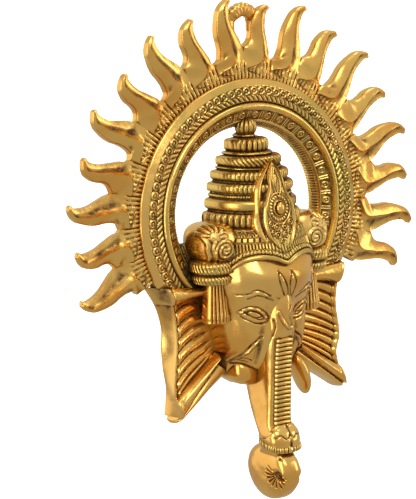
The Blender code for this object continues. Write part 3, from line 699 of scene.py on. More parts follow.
def ring_relief(radius, turn, wall):
    """The ring's ornament: milling, annulets, crest, diagonal strokes and curls, from the inside out."""
    relief = np.where(wall, -0.55 * abs(np.sin(math.pi * turn / MILLING_PITCH)) ** 0.8, 0.0)
    # A sunk band of dotted annulets with bars between them, and a fine line along each side
    beside = radius - ANNULET_RADIUS
    along = in_pitch(turn * ANNULET_RADIUS, ANNULET_PITCH)
    out = np.hypot(along, beside)
    annulet = hump(out - 1.95, 0.55) * 0.85 + hump(out, 0.75) * 0.75
    bars = hump(ANNULET_PITCH / 2 - abs(along) - 0.85, 0.42) * 0.7 * ramp(3.4, 2.8, abs(beside))
    relief += between(radius, ANNULET_BAND) * (annulet + bars - 0.5)
    relief += 0.45 * (hump(radius - 64.6, 0.45) + hump(radius - 72.1, 0.4))
    # The crest, with a groove outside it
    relief += CREST_LIFT * rounded(radius - CREST_RADIUS, CREST_HALF_WIDTH)
    relief -= 0.5 * hump(radius - 77.8, 0.4)
    # Diagonal strokes
    phase = turn / STROKE_PITCH + (radius - STROKE_RADIUS) / STROKE_LEAN
    relief += between(radius, STROKE_BAND) * (abs(np.cos(math.pi * phase)) ** 1.1 * 1.3 - 0.7)
    # Curls
    beside = radius - CURL_RADIUS
    along = in_pitch(turn * CURL_RADIUS, CURL_PITCH)
    out = np.hypot(along * 0.92, beside)
    opening = np.arctan2(beside, along)
    closed = 1 - hump(abs(opening) - math.pi + 0.9, 0.6) * (opening < 0)
    curls = hump(out - 2.3, 0.75) * closed * 1.5 + hump(out - 0.2, 0.8) * 0.9
    return relief + between(radius, CURL_BAND) * (curls - 0.7)


def halo_ring():
    """The ring's moulded profile with its ornament, swept round and cut off level at the ears' tops."""
    length = np.concatenate([[0], np.cumsum(np.hypot(*np.diff(RING_PROFILE, axis=0).T))])
    at = np.linspace(0, length[-1], RING_ROWS)
    radius, depth = (np.interp(at, length, column) for column in RING_PROFILE.T)
    wall = at < length[2]
    outside = at > length[-2]
    turn = np.linspace(-1, 1, RING_STEPS + 1)[:, None] * np.arccos(-RING_END_DROP / radius)
    relief = np.where(outside, 0.0, ring_relief(radius, turn, wall))
    reach = radius - np.where(wall, relief, 0.0)
    out = depth + np.where(wall, 0.0, relief) * np.clip(depth / 4, 0, 1)
    grid = stacked(reach * np.sin(turn), out, reach * np.cos(turn))
    grid[..., 1] += unevenness(grid, 7.0, 0.12) * (grid[..., 1] > 3)
    # The inner wall is darkened all over as painted shade, and further in its milled grooves as patina
    loft("halo_ring", grid, CARVED, np.where(wall, 0.10 - 0.35 * relief, 0.0))


ARCH_STEPS = 96
ARCH_AROUND = 28
ARCH_SQUARENESS = 0.8
ARCH_RIB_DEPTH = 0.13
ARCH_THINNING = 0.45
# The arch runs on straight below each spring by these shares of its thickness
ARCH_FEET = (0.55, 0.3)


def hanging_arch():
    """The arch over the nail: a ribbed half ring between the tips of the two top rays."""
    drop = np.concatenate([ARCH_FEET, np.zeros(ARCH_STEPS), ARCH_FEET[::-1]])[:, None]
    bend = np.pad(np.linspace(-QUARTER, QUARTER, ARCH_STEPS), len(ARCH_FEET), mode="edge")[:, None]
    turn = turns(ARCH_AROUND, 0.5)
    rib = abs(np.cos(ARCH_RIBS * bend)) ** 0.8
    size = 1 - ARCH_RIB_DEPTH * (1 - rib) * ramp(1.5, 1.1, abs(bend))
    wide = squared(np.cos(turn), ARCH_SQUARENESS) * ARCH_THICKNESS / 2 * np.where(np.cos(turn) < 0, 1, size)
    reach = EYE_HALF_WIDTH + ARCH_THICKNESS / 2 + wide
    thinned = 1 - ARCH_THINNING * ramp(0.6, 1.35, abs(bend))
    depth = thinned * ARCH_FRONT / 2 * (1 + squared(np.sin(turn), ARCH_SQUARENESS) * size)
    height = ARCH_SPRING - drop * ARCH_THICKNESS + np.cos(bend) * reach
    loft("hanging_arch", stacked(np.sin(bend) * reach, depth, height), RAY_GOLD)


# The crown

# Each tier as (height of its middle, its own height, half width, front depth, ribs, slant, rib depth)
TIERS = [
    (53.6, 2.6, 7.6, 14.0, 0, 0.0, 0.0),
    (47.6, 8.8, 15.3, 24.0, 12, 0.0, 2.1),
    (42.0, 2.6, 17.6, 27.4, 0, 0.0, 0.0),
    (37.0, 7.0, 22.9, 34.5, 21, 0.34, 1.4),
    (32.3, 2.0, 23.4, 34.4, 0, 0.0, 0.0),
    (27.2, 6.8, 28.0, 39.0, 27, 0.0, 0.9),
    (18.9, 6.8, 31.2, 42.0, 30, 0.0, 0.9),
    (13.2, 2.8, 30.4, 40.4, 50, 0.0, 0.9),
    (7.2, 7.8, 33.6, 44.0, 0, 0.0, 0.0),
    (-3.2, 9.8, 36.2, 44.6, 25, 0.0, 1.7),
]
TIER_GROOVE = 2.9
TIER_SQUARENESS = 2.8
SLANT_REACH = 2.2
# The ribs of the tiers above this height are worn smooth at the far left
WORN_ABOVE = 10
CROWN_SQUARENESS = 0.8
CROWN_ROWS = 220
CROWN_COLUMNS = 220
# The core behind the tiers and the band as (height, half width, front depth)
CROWN_CORE = np.array(
    [
        (55.5, 5.0, 10.0),
        (47.0, 9.0, 17.0),
        (36.0, 19.6, 30.6),
        (20.0, 27.6, 38.0),
        (0.0, 31.4, 41.2),
        (-8.0, 34.0, 42.8),
        (-9.4, 37.4, 45.4),
        (-17.0, 40.5, 47.5),
        (-30.0, 43.0, 52.4),
        (-34.0, 43.5, 52.8),
        (-43.0, 43.6, 53.0),
    ]
)
# The ornament of the upper band between heights, as (start, full from, full to, end)
BARS_BAND = (-25.6, -25.0, -19.0, -18.6)
SQUARES_BAND = (-17.8, -17.4, -15.0, -14.6)
SCALLOP_BAND = (-14.2, -13.6, -9.8, -9.0)
BAND_LINES = (-14.3, -18.2)
BAND_RADIUS = 43.0
SCALLOP_PITCH = 7.0
SCALLOP_FOOT = -13.6
SQUARE_PITCH = 4.6
BAR_PITCH = 2.5
# The arched lower edge of the crown's band as (distance from the middle, height)
BAND_EDGE = [
    (0.0, -35.0),
    (3.0, -33.9),
    (8.0, -31.6),
    (14.0, -30.2),
    (22.0, -30.0),
    (29.0, -32.0),
    (33.5, -35.6),
    (37.0, -40.0),
    (40.0, -46.0),
]
BAND_PLAIN = 3.6
BAND_BEADED = 3.4
BAND_TOP = BAND_PLAIN + BAND_BEADED
BEAD_PITCH = 2.7
BAND_UNDERCUT = 7.0
BUD_CENTRE = (0.0, 6.5, 59.5)
BUD_RADII = (7.8, 7.4, 7.2)
BUD_FLUTES = 12
BUD_AROUND = 96
BUD_STEPS = 40


def band_relief(along, height):
    """Scallops, small squares and bars on the crown's upper band."""
    out = np.hypot(in_pitch(along, SCALLOP_PITCH), height - SCALLOP_FOOT)
    scallops = hump(out - 3.0, 0.6) * 1.4 + hump(out - 1.3, 0.6) - 0.5
    squares = 1.1 * ramp(0.25, 0.45, abs(np.sin(math.pi * along / SQUARE_PITCH))) - 0.5
    bars = 1.5 * abs(np.sin(math.pi * along / BAR_PITCH)) ** 0.8 - 0.9
    relief = between(height, SCALLOP_BAND) * scallops
    relief += between(height, SQUARES_BAND) * squares + between(height, BARS_BAND) * bars
    return relief + 0.5 * sum(hump(height - line, 0.35) for line in BAND_LINES)


def edge_relief(along, over):
    """The plain band above the forehead and its beaded border, by the height over the lower edge."""
    bead = np.hypot(
        in_pitch(along, BEAD_PITCH) / (BEAD_PITCH / 2),
        (over - BAND_PLAIN - BAND_BEADED / 2 - 0.2) / (BAND_BEADED / 2),
    )
    relief = 0.5 * ramp(BAND_TOP + 0.9, BAND_TOP + 0.3, over)
    relief += 0.7 * ramp(BAND_PLAIN + 0.5, BAND_PLAIN - 0.1, over)
    relief += 1.1 * rounded(bead, 1.0) - 0.7 * hump(over - BAND_PLAIN - 0.2, 0.35)
    return relief + 0.6 * rounded(over - BAND_PLAIN / 2, BAND_PLAIN / 2) ** 2


def crown():
    """The crown's tiers and band with their ribs, beads, scallops and bars."""
    heights = np.linspace(CROWN_CORE[0, 0], CROWN_CORE[-1, 0], CROWN_ROWS)
    arc = np.linspace(-QUARTER, QUARTER, CROWN_COLUMNS)
    half_width, front = (np.interp(-heights, -CROWN_CORE[:, 0], CROWN_CORE[:, column]) for column in (1, 2))
    relief = np.zeros((CROWN_ROWS, CROWN_COLUMNS))
    for middle, tall, wide, deep, ribs, slant, rib_depth in TIERS:
        swell = rounded(heights - middle, tall / 2, TIER_SQUARENESS)
        there = swell > 0
        for profile, size in ((half_width, wide), (front, deep)):
            profile[there] = np.maximum(profile, size - TIER_GROOVE * (1 - swell))[there]
        phase = arc * ribs + slant * (heights - middle)[:, None] * SLANT_REACH
        rib = rib_depth * (abs(np.cos(phase)) ** 0.7 - 0.75)
        worn = 1 - 0.8 * ramp(-0.75, -1.1, arc) * (middle > WORN_ABOVE)
        relief += there[:, None] * rib * np.minimum(1, swell * 1.6)[:, None] * worn
    height = heights[:, None]
    across = half_width[:, None] * np.sin(arc)
    over = height - curve_through(*zip(*BAND_EDGE), abs(across))
    relief = np.where(over < BAND_TOP + 0.8, 0.0, relief + band_relief(arc * BAND_RADIUS, height))
    relief += edge_relief(arc * BAND_RADIUS, over)
    relief -= BAND_UNDERCUT * ramp(0.35, -0.1, over) * (height < -28)
    grid = stacked(across, front[:, None] * np.cos(arc) ** CROWN_SQUARENESS, height)
    plate("crown", pushed(grid, relief * ramp(0, 4, grid[..., 1]), wrap=False), 0.0, CROWN_GOLD)
    # The fluted bud on top
    bud = egg_grid(BUD_CENTRE, BUD_RADII, BUD_AROUND, BUD_STEPS)
    flutes = 1.3 * (abs(np.cos(turns(BUD_AROUND) * BUD_FLUTES / 2)) ** 0.6 - 0.7)
    fade = np.sin(np.linspace(0, math.pi, BUD_STEPS + 1))[:, None] ** 0.6
    loft("crown_bud", off_the_wall(pushed(bud, flutes * fade)), CROWN_GOLD)


# The side ornaments

DOME_CENTRE = (38.2, 14.0, -18.4)
DOME_RADII = (17.2, 20.5, 14.8)
DOME_SQUARENESS = 0.74
# The dome's carving, drawn for the viewer's left and mirrored
FAN_CENTRE = (-46.6, -12.2)
FAN_REACH = (3.0, 3.8, 8.0, 8.8)
FAN_SPREAD = (-0.35, -0.1, 3.2, 3.45)
SPIRAL_CENTRE = (-39.6, -21.8)
SPIRAL_RADIUS = 8.2
SPIRAL_PITCH = 2.9
STEMS = [
    [(-53.4, -12.0), (-51.6, -17.0), (-51.6, -22.0), (-49.0, -30.0)],
    [(-49.6, -12.6), (-47.6, -15.6), (-48.4, -21.0), (-45.0, -30.0)],
]
# Rolls and tassel as (height, radius), and the web as (height, inner edge, outer edge)
ROLLS = [
    (-29.5, 11.0),
    (-31.0, 14.0),
    (-35.0, 15.4),
    (-38.4, 14.6),
    (-39.6, 12.6),
    (-41.0, 14.0),
    (-44.5, 14.2),
    (-47.0, 12.0),
    (-48.0, 8.0),
]
TASSEL = [(-45.0, 7.6), (-52.0, 8.6), (-66.0, 9.9), (-73.0, 10.2), (-76.0, 8.6), (-77.0, 5.0)]
WEB = [(-19.0, 46.0, 60.0), (-30.0, 36.0, 57.0), (-40.0, 34.0, 51.0), (-51.0, 33.0, 42.0)]
ROLL_AXIS = (41.5, 19.0)
ROLL_STRETCH = 1.12
ROLL_STRANDS = 34
ROLL_TWIST = 0.03
TASSEL_AXIS = (39.6, 20.0)
STRAND_PITCH = 0.29
STRAND_GROOVE = 1.25
WEB_FRONT = 6.5
WEB_BACK = 0.8
TURNED_AROUND = 200


def dome_relief(across, height):
    """A fan crest, a spiral disc and the two sides of an S-shaped stem."""
    out, turn = polar(across, height, FAN_CENTRE)
    fan = between(out, FAN_REACH) * between(turn, FAN_SPREAD)
    relief = fan * (1.7 * abs(np.cos(turn * 5.5)) ** 0.7 - 0.5)
    out, turn = polar(across, height, SPIRAL_CENTRE)
    spiral = 0.5 + 0.5 * np.cos(FULL * out / SPIRAL_PITCH - turn)
    relief += ramp(SPIRAL_RADIUS, SPIRAL_RADIUS - 0.6, out) * (0.3 + 1.3 * spiral)
    return relief + lines_cut(across, height, STEMS, 0.9, -1.5)


def turned(radius, side, axis, heights, stretch=1.0):
    """Rings round an upright axis beside the head, with the radius given by height and angle."""
    turn = turns(TURNED_AROUND)
    across = side * axis[0] + radius * np.cos(turn)
    return stacked(across, axis[1] + stretch * radius * np.sin(turn), heights)


def side_ornament(side, word):
    """A smooth dome with its crest, two corded rolls and a grooved tassel under it, and the web behind."""
    dome = egg_grid((side * DOME_CENTRE[0], *DOME_CENTRE[1:]), DOME_RADII, 150, 100, DOME_SQUARENESS)
    relief = dome_relief(-abs(dome[..., 0]), dome[..., 2]) * ramp(16, 19, dome[..., 1])
    loft(f"dome_{word}", off_the_wall(pushed(dome, relief)), DOME_GOLD)
    turn = turns(TURNED_AROUND)
    heights, radius = levels(ROLLS, 48)
    strands = abs(np.sin((turn + side * heights * ROLL_TWIST) * ROLL_STRANDS / 2)) ** 0.6 - 0.8
    radius = radius + 0.85 * strands * ramp(11.0, 13.5, radius)
    loft(f"rolls_{word}", turned(radius, side, ROLL_AXIS, heights, ROLL_STRETCH), CARVED)
    heights, radius = levels(TASSEL, 30)
    groove = hump(in_pitch(turn, STRAND_PITCH), 0.055) * ramp(0.50, 0.64, np.sin(turn))
    radius = radius - STRAND_GROOVE * groove * ramp(-46, -49, heights)
    loft(f"tassel_{word}", turned(radius, side, TASSEL_AXIS, heights), POLISHED)
    heights, edges = levels(WEB, 30)
    across = edges[:, :1] + (edges[:, 1:] - edges[:, :1]) * np.linspace(0, 1, 30)
    pebbles = 0.7 * np.sin(across * 2.3 + heights) * np.sin(heights * 2.1 - across * 0.8)
    plate(f"web_{word}", stacked(side * across, WEB_FRONT + pebbles, heights), WEB_BACK, CARVED)


# The medallion

# As (height, half width, front depth)
MEDALLION = [
    (38.5, 0.8, 37.0),
    (33.0, 4.0, 39.0),
    (27.0, 6.2, 41.0),
    (20.0, 7.0, 42.8),
    (13.0, 10.2, 44.0),
    (6.0, 13.4, 45.0),
    (-2.0, 14.4, 45.8),
    (-10.0, 13.2, 47.0),
    (-18.0, 9.4, 48.6),
    (-26.0, 1.2, 50.4),
]
MEDALLION_BACK = 28.0
MEDALLION_ROWS = 210
MEDALLION_COLUMNS = 101
# The plate behind the medallion's left edge as (height, reach to the left, depth)
FLANGE = [
    (37.0, 3.0, 36.0),
    (30.0, 9.0, 37.0),
    (20.0, 15.5, 38.0),
    (12.0, 17.0, 39.0),
    (4.0, 17.6, 40.0),
    (-3.0, 19.6, 41.4),
    (-10.0, 18.6, 43.0),
    (-18.0, 14.0, 45.0),
    (-25.0, 4.0, 47.0),
]
FLANGE_BACK = 24.0
GEM_CENTRE = (0.0, 45.8, 5.0)
GEM_RADII = (3.4, 3.4, 4.6)
SEAT_SQUASH = 0.86
# Scrolls as (distance from the middle, height, radius)
SCROLLS = [(3.6, -8.0, 2.2), (8.3, -5.5, 1.8), (3.2, -13.6, 2.0), (0.0, -18.4, 1.7), (7.0, -11.6, 1.6)]
OUTER_LEAF = [(0.0, 13.0), (2.6, 18.0), (3.2, 24.0), (0.2, 33.5)]
INNER_LEAF = [(0.0, 16.0), (0.9, 22.0), (0.0, 28.0)]


def medallion_relief(x, z, share):
    """The rim, then inside it the beaded rings of the gem's seat, scrolls and leaf loops."""
    relief = 1.3 * hump(share - 0.86, 0.09) - 0.9 * hump(share - 0.98, 0.06)
    side = abs(x)
    out, turn = polar(x, (z - GEM_CENTRE[2]) * SEAT_SQUASH, (0.0, 0.0))
    carving = 1.2 * hump(out - 4.6, 0.55) + 0.8 * hump(out - 9.4, 0.45)
    carving += 1.2 * hump(out - 7.0, 0.9) * abs(np.sin(turn * 11)) ** 0.6
    for across, height, size in SCROLLS:
        out = np.hypot(side - across, z - height)
        carving += 1.1 * hump(out - size, 0.45) + 0.9 * hump(out, 0.6)
    carving += lines_cut(side, z, [OUTER_LEAF], 0.65, -1.3) + lines_cut(side, z, [INNER_LEAF], 0.6, -0.9)
    return relief + ramp(0.78, 0.68, share) * (carving - 0.4)


def medallion():
    """The leaf-shaped plate on the crown's front, with its rim, gem and scrollwork."""
    heights, sizes = levels(MEDALLION, MEDALLION_ROWS)
    share = np.linspace(-1, 1, MEDALLION_COLUMNS)
    x, z, share = np.broadcast_arrays(share * sizes[:, :1], heights, share)
    depth = sizes[:, 1:] - 0.6 * abs(share) ** 6 + medallion_relief(x, z, abs(share))
    plate("medallion", stacked(x, depth, z), MEDALLION_BACK, CARVED)
    heights, sizes = levels(FLANGE, 60)
    share = np.linspace(-1, 0.6, 40)
    depth = sizes[:, 1:] + 1.5 * ramp(-0.55, -0.8, share) - 2.5 * ramp(-0.9, -1.0, share) ** 2
    plate("medallion_flange", stacked(share * sizes[:, :1], depth, heights), FLANGE_BACK, POLISHED)
    loft("medallion_gem", egg_grid(GEM_CENTRE, GEM_RADII, 48, 30), POLISHED)


# The face

# Depths are given at these shares of the half width, in rows of (height, half width, depths)
FACE_PLACES = (0.0, 0.28, 0.57, 0.80, 0.93, 1.0)
FACE = [
    (-20.0, 42.0, 45.0, 43.5, 39.0, 30.0, 17.0, 4.0),
    (-32.0, 43.0, 51.0, 49.5, 44.5, 34.0, 20.0, 5.0),
    (-42.0, 43.5, 57.0, 54.5, 48.0, 36.0, 22.0, 5.0),
    (-50.0, 43.0, 56.0, 53.0, 46.5, 35.0, 21.0, 5.0),
    (-58.0, 42.0, 52.0, 48.5, 44.0, 33.0, 20.0, 5.0),
    (-68.0, 41.0, 45.0, 43.0, 41.5, 31.0, 19.0, 5.0),
    (-78.0, 39.5, 41.0, 40.0, 40.0, 30.0, 18.0, 5.0),
    (-88.0, 38.0, 38.0, 37.5, 38.5, 29.0, 17.0, 5.0),
    (-98.0, 35.8, 33.0, 33.0, 35.0, 27.0, 16.0, 5.0),
    (-106.0, 34.0, 28.0, 29.0, 31.0, 22.0, 14.0, 5.0),
    (-114.0, 31.0, 22.0, 25.0, 27.0, 18.0, 11.0, 4.0),
    (-121.0, 24.0, 15.0, 19.0, 19.0, 12.0, 8.0, 3.0),
    (-126.0, 16.0, 10.0, 12.0, 12.0, 8.0, 6.0, 3.0),
]
FACE_ROWS = 210
FACE_COLUMNS = 190
# As (distance from the middle, height, reach across, reach in height, lift)
BROW = (24.0, -55.5, 13.0, 3.2, 1.6)
SOCKET = (23.0, -68.5, 12.0, 7.5, -2.2)
CREASE_START = (14.0, -86.4)
CREASE_END = (30.6, -108.0)
CREASE_STEP = 2.6
CREASE_RUN_ON = 1.1
CREASE_FADE = 9.0
# The face's lines, drawn for the viewer's left and mirrored
UPPER_LID = [(28.8, -67.8), (27.2, -66.0), (24.4, -64.9), (20.0, -65.8), (14.4, -69.0), (11.9, -72.4)]
LOWER_LID = [(28.8, -67.8), (26.6, -70.4), (23.6, -72.4), (18.4, -74.8), (13.2, -74.9), (11.9, -72.4)]
EYEBALL_SPREAD = 26.0
ALMOND = [
    [(25.6, -68.2), (23.6, -67.0), (19.6, -67.8), (14.2, -71.6)],
    [(25.6, -68.2), (23.8, -69.8), (19.8, -71.9), (14.2, -71.6)],
]
CHEEK_AND_MOUTH = [
    [(15.0, -86.6), (21.6, -91.6), (26.0, -99.1), (30.4, -108.0)],
    [(30.6, -107.6), (24.0, -107.0), (17.2, -110.4), (10.0, -114.4)],
]
WRINKLES = [
    [(29.0, -104.0), (25.0, -104.0), (20.6, -105.6)],
    [(25.4, -102.4), (22.0, -102.6), (18.4, -104.4)],
]
BROW_CREASES = [
    [(32.7, -54.4), (26.4, -53.2), (24.5, -51.4), (20.7, -51.3), (12.9, -55.9)],
    [(27.0, -57.0), (22.5, -54.9), (16.7, -56.6), (10.0, -59.6)],
]
# The mark on the forehead, which isn't mirrored
TILAK = [
    [(-8.4, -37.4), (-8.6, -44.2), (-5.2, -52.0), (0.6, -60.0), (-1.0, -52.0), (-4.8, -44.0), (-8.4, -37.4)],
    [(2.0, -38.4), (4.2, -42.8), (5.8, -48.0), (4.2, -58.3), (0.6, -51.0), (0.0, -44.6), (2.0, -38.4)],
]
LINE_STAIN = 0.7
LID_STAIN = 0.16
# Where the trunk grows out of the face, between heights
FILLET_BAND = (-124, -104, -90, -74)
FILLET_LIFT = 7.0
ROOT_BAND = (-92, -78, -60, -50)
ROOT_DEPTH = 50.0
ROOT_LIFT = 12.0


def face_relief(x, z):
    """The face's modelling and its incised lines, and the stain in those."""
    side = abs(x)
    relief = np.zeros(np.shape(x))
    for middle, level, wide, tall, lift in (BROW, SOCKET):
        relief += lift * hump(side - middle, wide) * hump(z - level, tall)
    # The step between cheek and mouth
    run = (CREASE_END[0] - CREASE_START[0], CREASE_END[1] - CREASE_START[1])
    length = math.hypot(*run)
    along = ((side - CREASE_START[0]) * run[0] + (z - CREASE_START[1]) * run[1]) / length**2
    beside = ((side - CREASE_START[0]) * run[1] - (z - CREASE_START[1]) * run[0]) / length
    swell = np.sin(math.pi * np.clip(along / CREASE_RUN_ON, 0, 1))
    relief += CREASE_STEP * swell * np.exp(np.minimum(beside, 0) / CREASE_FADE) * ramp(0.5, -0.5, beside)
    # The eye: a low ball between two raised lids, with its almond drawn in
    upper, lower = (curve_through(*zip(*lid[::-1]), side) for lid in (UPPER_LID, LOWER_LID))
    within = (side > UPPER_LID[-1][0]) & (side < UPPER_LID[0][0])
    relief += 1.5 * (np.clip((upper - z) * (z - lower) / EYEBALL_SPREAD, 0, 1) * within) ** 0.7
    lid_stain = 0
    for lid, raised in ((UPPER_LID, 1.0), (LOWER_LID, 0.8)):
        gap = from_line(side, z, lid)
        relief += raised * hump(gap, 0.7) - 0.6 * hump(gap - 1.6, 0.55)
        lid_stain = lid_stain + LID_STAIN * hump(gap - 1.5, 0.5)
    cuts = lines_cut(x, z, TILAK, 0.55, 1.0)
    for lines, width, depth in (
        (ALMOND, 0.5, 0.8),
        (CHEEK_AND_MOUTH, 0.85, 1.8),
        (WRINKLES, 0.45, 0.7),
        (BROW_CREASES, 0.7, 1.0),
    ):
        cuts += lines_cut(side, z, lines, width, depth)
    return relief + cuts, lid_stain - cuts * LINE_STAIN


def face():
    """The face without its trunk: a domed relief with its sides curving back to the wall."""
    heights, sizes = levels(FACE, FACE_ROWS)
    shares = np.sin(np.linspace(-QUARTER, QUARTER, FACE_COLUMNS))
    depth = np.array([curve_through(FACE_PLACES, row, abs(shares)) for row in sizes[:, 1:]])
    x, z = np.broadcast_arrays(shares * sizes[:, :1], heights)
    relief, darkening = face_relief(x, z)
    # The fillet on each side of the trunk
    fillet = FILLET_LIFT * between(z, FILLET_BAND) * hump(abs(x) - 10.0, 4.0) * ramp(0, 1, depth / 20)
    depth = depth + relief * np.minimum(1.0, 3 * (1 - abs(shares))) + fillet
    # The ridge that leads from the forehead into the trunk
    root = hump(x, 9.5) * between(z, ROOT_BAND)
    depth = np.maximum(depth, depth + root * np.clip(ROOT_DEPTH - depth, 0, ROOT_LIFT))
    plate("face", stacked(x, depth, z), FACE_BACK, POLISHED, darkening)


LIP_CENTRE = (-16.8, 14.5, -115.2)
LIP_RADII = (10.6, 14.8, 9.6)
LIP_SLANT = -0.22
TUSK_CENTRE = (33.0, 21.0, -123.4)
TUSK_RADII = (5.2, 9.8, 15.8)
TUSK_TAPER = 0.25
TUSK_LEAN = 4.6
TUSK_BOW = 1.2


def jaws():
    """The lower lip at the left and the tusk-like drop at the right."""
    lip = egg_grid(LIP_CENTRE, LIP_RADII, 100, 70, 0.72)
    lip[..., 2] += LIP_SLANT * (lip[..., 0] - LIP_CENTRE[0])
    loft("jaw_left", lip, POLISHED)
    tusk = egg_grid((0.0, TUSK_CENTRE[1], 0.0), TUSK_RADII, 70, 60, 0.95)
    rise = tusk[..., 2] / TUSK_RADII[2]
    tusk[..., 0] *= 1 + TUSK_TAPER * rise
    tusk[..., 0] += TUSK_CENTRE[0] - TUSK_LEAN * rise - TUSK_BOW * rise**2
    tusk[..., 2] += TUSK_CENTRE[2]
    loft("jaw_right", tusk, POLISHED)


# The trunk

# As (height, half width, back depth, front depth)
TRUNK = [
    (-46.0, 3.0, 30.0, 46.0),
    (-52.0, 6.0, 30.0, 50.4),
    (-58.0, 8.2, 29.0, 52.0),
    (-64.0, 9.8, 26.0, 52.4),
    (-78.0, 11.0, 18.0, 51.6),
    (-88.0, 11.2, 12.0, 48.4),
    (-100.0, 11.2, 8.0, 46.4),
    (-115.0, 11.1, 5.5, 45.0),
    (-130.0, 11.0, 9.5, 44.0),
    (-142.0, 11.0, 14.0, 43.2),
    (-152.0, 11.2, 19.5, 43.2),
    (-160.0, 11.6, 24.5, 47.0),
    (-168.0, 11.6, 27.0, 48.0),
    (-174.0, 10.4, 24.0, 46.0),
]
TRUNK_SQUARENESS = 0.55
# A raised line and a cut one at the trunk's root
NASAL = [(-5.9, -68.4), (-4.4, -73.0), (-2.0, -77.0), (2.4, -80.6), (5.0, -79.4), (3.9, -74.6)]
NASAL += [(1.4, -69.6), (3.6, -65.7)]
NASAL_CUT = [(-8.6, -74.0), (-8.0, -80.0), (-8.8, -86.5)]
LADDER_TOP = -88.0
LADDER_BOTTOM = -152.0
LADDER_RIBS = 20
LADDER_HALF_WIDTH = 7.4
LADDER_MARGIN = 0.6
LADDER_BACK = 30.0
COLLAR_TILT = 0.24
COLLAR_PIVOT = 47.0
COLLAR_TOP = -152.0
COLLAR_BACK_TOP = -161.5
COLLAR_FOOT = -166.2
COLLAR_BACK = 25.0
COLLAR_SQUARENESS = 0.7
COLLAR_FRONT = [(0.0, 44.6), (0.15, 47.6), (0.6, 52.0), (1.0, 52.4)]
COLLAR_VEINS = [
    [(-11.0, -160.0), (-7.0, -158.0), (-3.0, -160.5), (0.5, -158.6)],
    [(11.0, -161.0), (7.0, -158.4), (3.4, -160.2), (0.5, -157.6)],
    [(0.5, -153.0), (0.4, -158.0), (0.9, -165.6)],
]
BEADS_TOP = -165.6
BEADS_FOOT = -171.2
BEADS_AROUND = 38
CURL_CENTRE = (30.8, -188.4)
CURL_RADII = (24.8, 20.8)
CURL_HALF_WIDTH = 10.5
CURL_SQUARENESS = 0.62
VOLUTE_EYE = (47.5, -188.2)
VOLUTE_SQUASH = 1.3
VOLUTE_REACH = (3.4, 4.6, 11.6, 13.2)
# Lines in the curl's side as (depth, height)
CURL_MOUTH = [(47.0, -189.4), (52.0, -190.8), (57.0, -189.0)]
CURL_FOLD = [(48.0, -175.4), (52.6, -176.4), (56.4, -178.6)]
CURL_FINGER = [(57.6, -178.0), (57.0, -183.0), (53.0, -186.6)]


def boxy_rings(half_width, back, front, height, turn, power):
    """Rings of a rounded-square plan between a back and a front depth."""
    depth = (back + front) / 2 + (front - back) / 2 * squared(np.sin(turn), power)
    return stacked(half_width * squared(np.cos(turn), power), depth, height)


def trunk():
    """The trunk with its smooth tall sides, the drop carved at its root and the ladder of ribs in front."""
    turn = turns(160, 0.5)
    heights, sizes = levels(TRUNK, 150)
    power = TRUNK_SQUARENESS + (1 - TRUNK_SQUARENESS) * ramp(-98, -68, heights)
    grid = boxy_rings(sizes[:, :1], sizes[:, 1:2], sizes[:, 2:], heights, turn, power)
    x, z = grid[..., 0], grid[..., 2]
    relief = lines_cut(x, z, [NASAL], 0.6, -1.1) + lines_cut(x, z, [NASAL_CUT], 0.5, 0.7)
    relief = relief * ramp(0.15, 0.45, np.sin(turn))
    loft("trunk", pushed(grid, relief + unevenness(grid, 8.0, 0.12)), POLISHED)
    heights = np.linspace(LADDER_TOP, LADDER_BOTTOM, LADDER_RIBS * 12)
    front = read(TRUNK, heights)[:, 2:]
    heights = heights[:, None]
    edge = LADDER_HALF_WIDTH + LADDER_MARGIN
    across = np.linspace(-edge, edge, 64)
    bow = (across / LADDER_HALF_WIDTH) ** 2
    phase = math.pi * LADDER_RIBS * (heights - LADDER_TOP) / (LADDER_BOTTOM - LADDER_TOP)
    rib = abs(np.sin(phase - 0.5 * bow)) ** 0.42
    end = ramp(LADDER_HALF_WIDTH - 0.2 + 0.5 * rib, LADDER_HALF_WIDTH - 1.6, abs(across))
    depth = front + end * (rib * 2.1 - 0.5) + 0.6 * (1 - bow) - 0.6 * (1 - end)
    plate("trunk_ladder", stacked(across, depth, heights), LADDER_BACK, CARVED)


def tilted(grid, share=1.0):
    """The grid with its front lowered about the collar's pivot."""
    grid[..., 2] -= COLLAR_TILT * (grid[..., 1] - COLLAR_PIVOT) * share
    return grid


def collar():
    """The leaf-shaped cap with its veins, and the band of beads under it."""
    turn = turns(140, 0.5)
    facing = np.sin(turn)
    top = COLLAR_TOP + (COLLAR_BACK_TOP - COLLAR_TOP) * ramp(0.95, 0.0, facing)
    share = np.linspace(0, 1, 50)[:, None]
    half_width = 11.4 + 2.4 * ramp(0.0, 0.25, share) * (1 - 0.3 * share)
    front = curve_through(*zip(*COLLAR_FRONT), share)
    height = top + (COLLAR_FOOT - top) * share
    grid = boxy_rings(half_width, COLLAR_BACK, front, height, turn, COLLAR_SQUARENESS)
    relief = lines_cut(grid[..., 0], grid[..., 2], COLLAR_VEINS, 0.55, 0.9) * ramp(0.1, 0.4, facing)
    relief += 0.8 * hump(share - 0.06, 0.06)
    loft("trunk_collar", pushed(tilted(grid, share), relief), POLISHED)
    height = np.linspace(BEADS_TOP, BEADS_FOOT, 28)[:, None]
    swell = rounded(height - (BEADS_TOP + BEADS_FOOT) / 2, (BEADS_TOP - BEADS_FOOT) / 2)
    bead = 0.9 * (abs(np.sin(turn * BEADS_AROUND / 2)) ** 0.6 * swell - 0.5)
    half_width = 12.6 + 1.5 * swell + bead
    grid = boxy_rings(half_width, 26.0, 50.6 + 1.8 * swell + bead, height, turn, COLLAR_SQUARENESS)
    loft("trunk_beads", tilted(grid), CARVED)


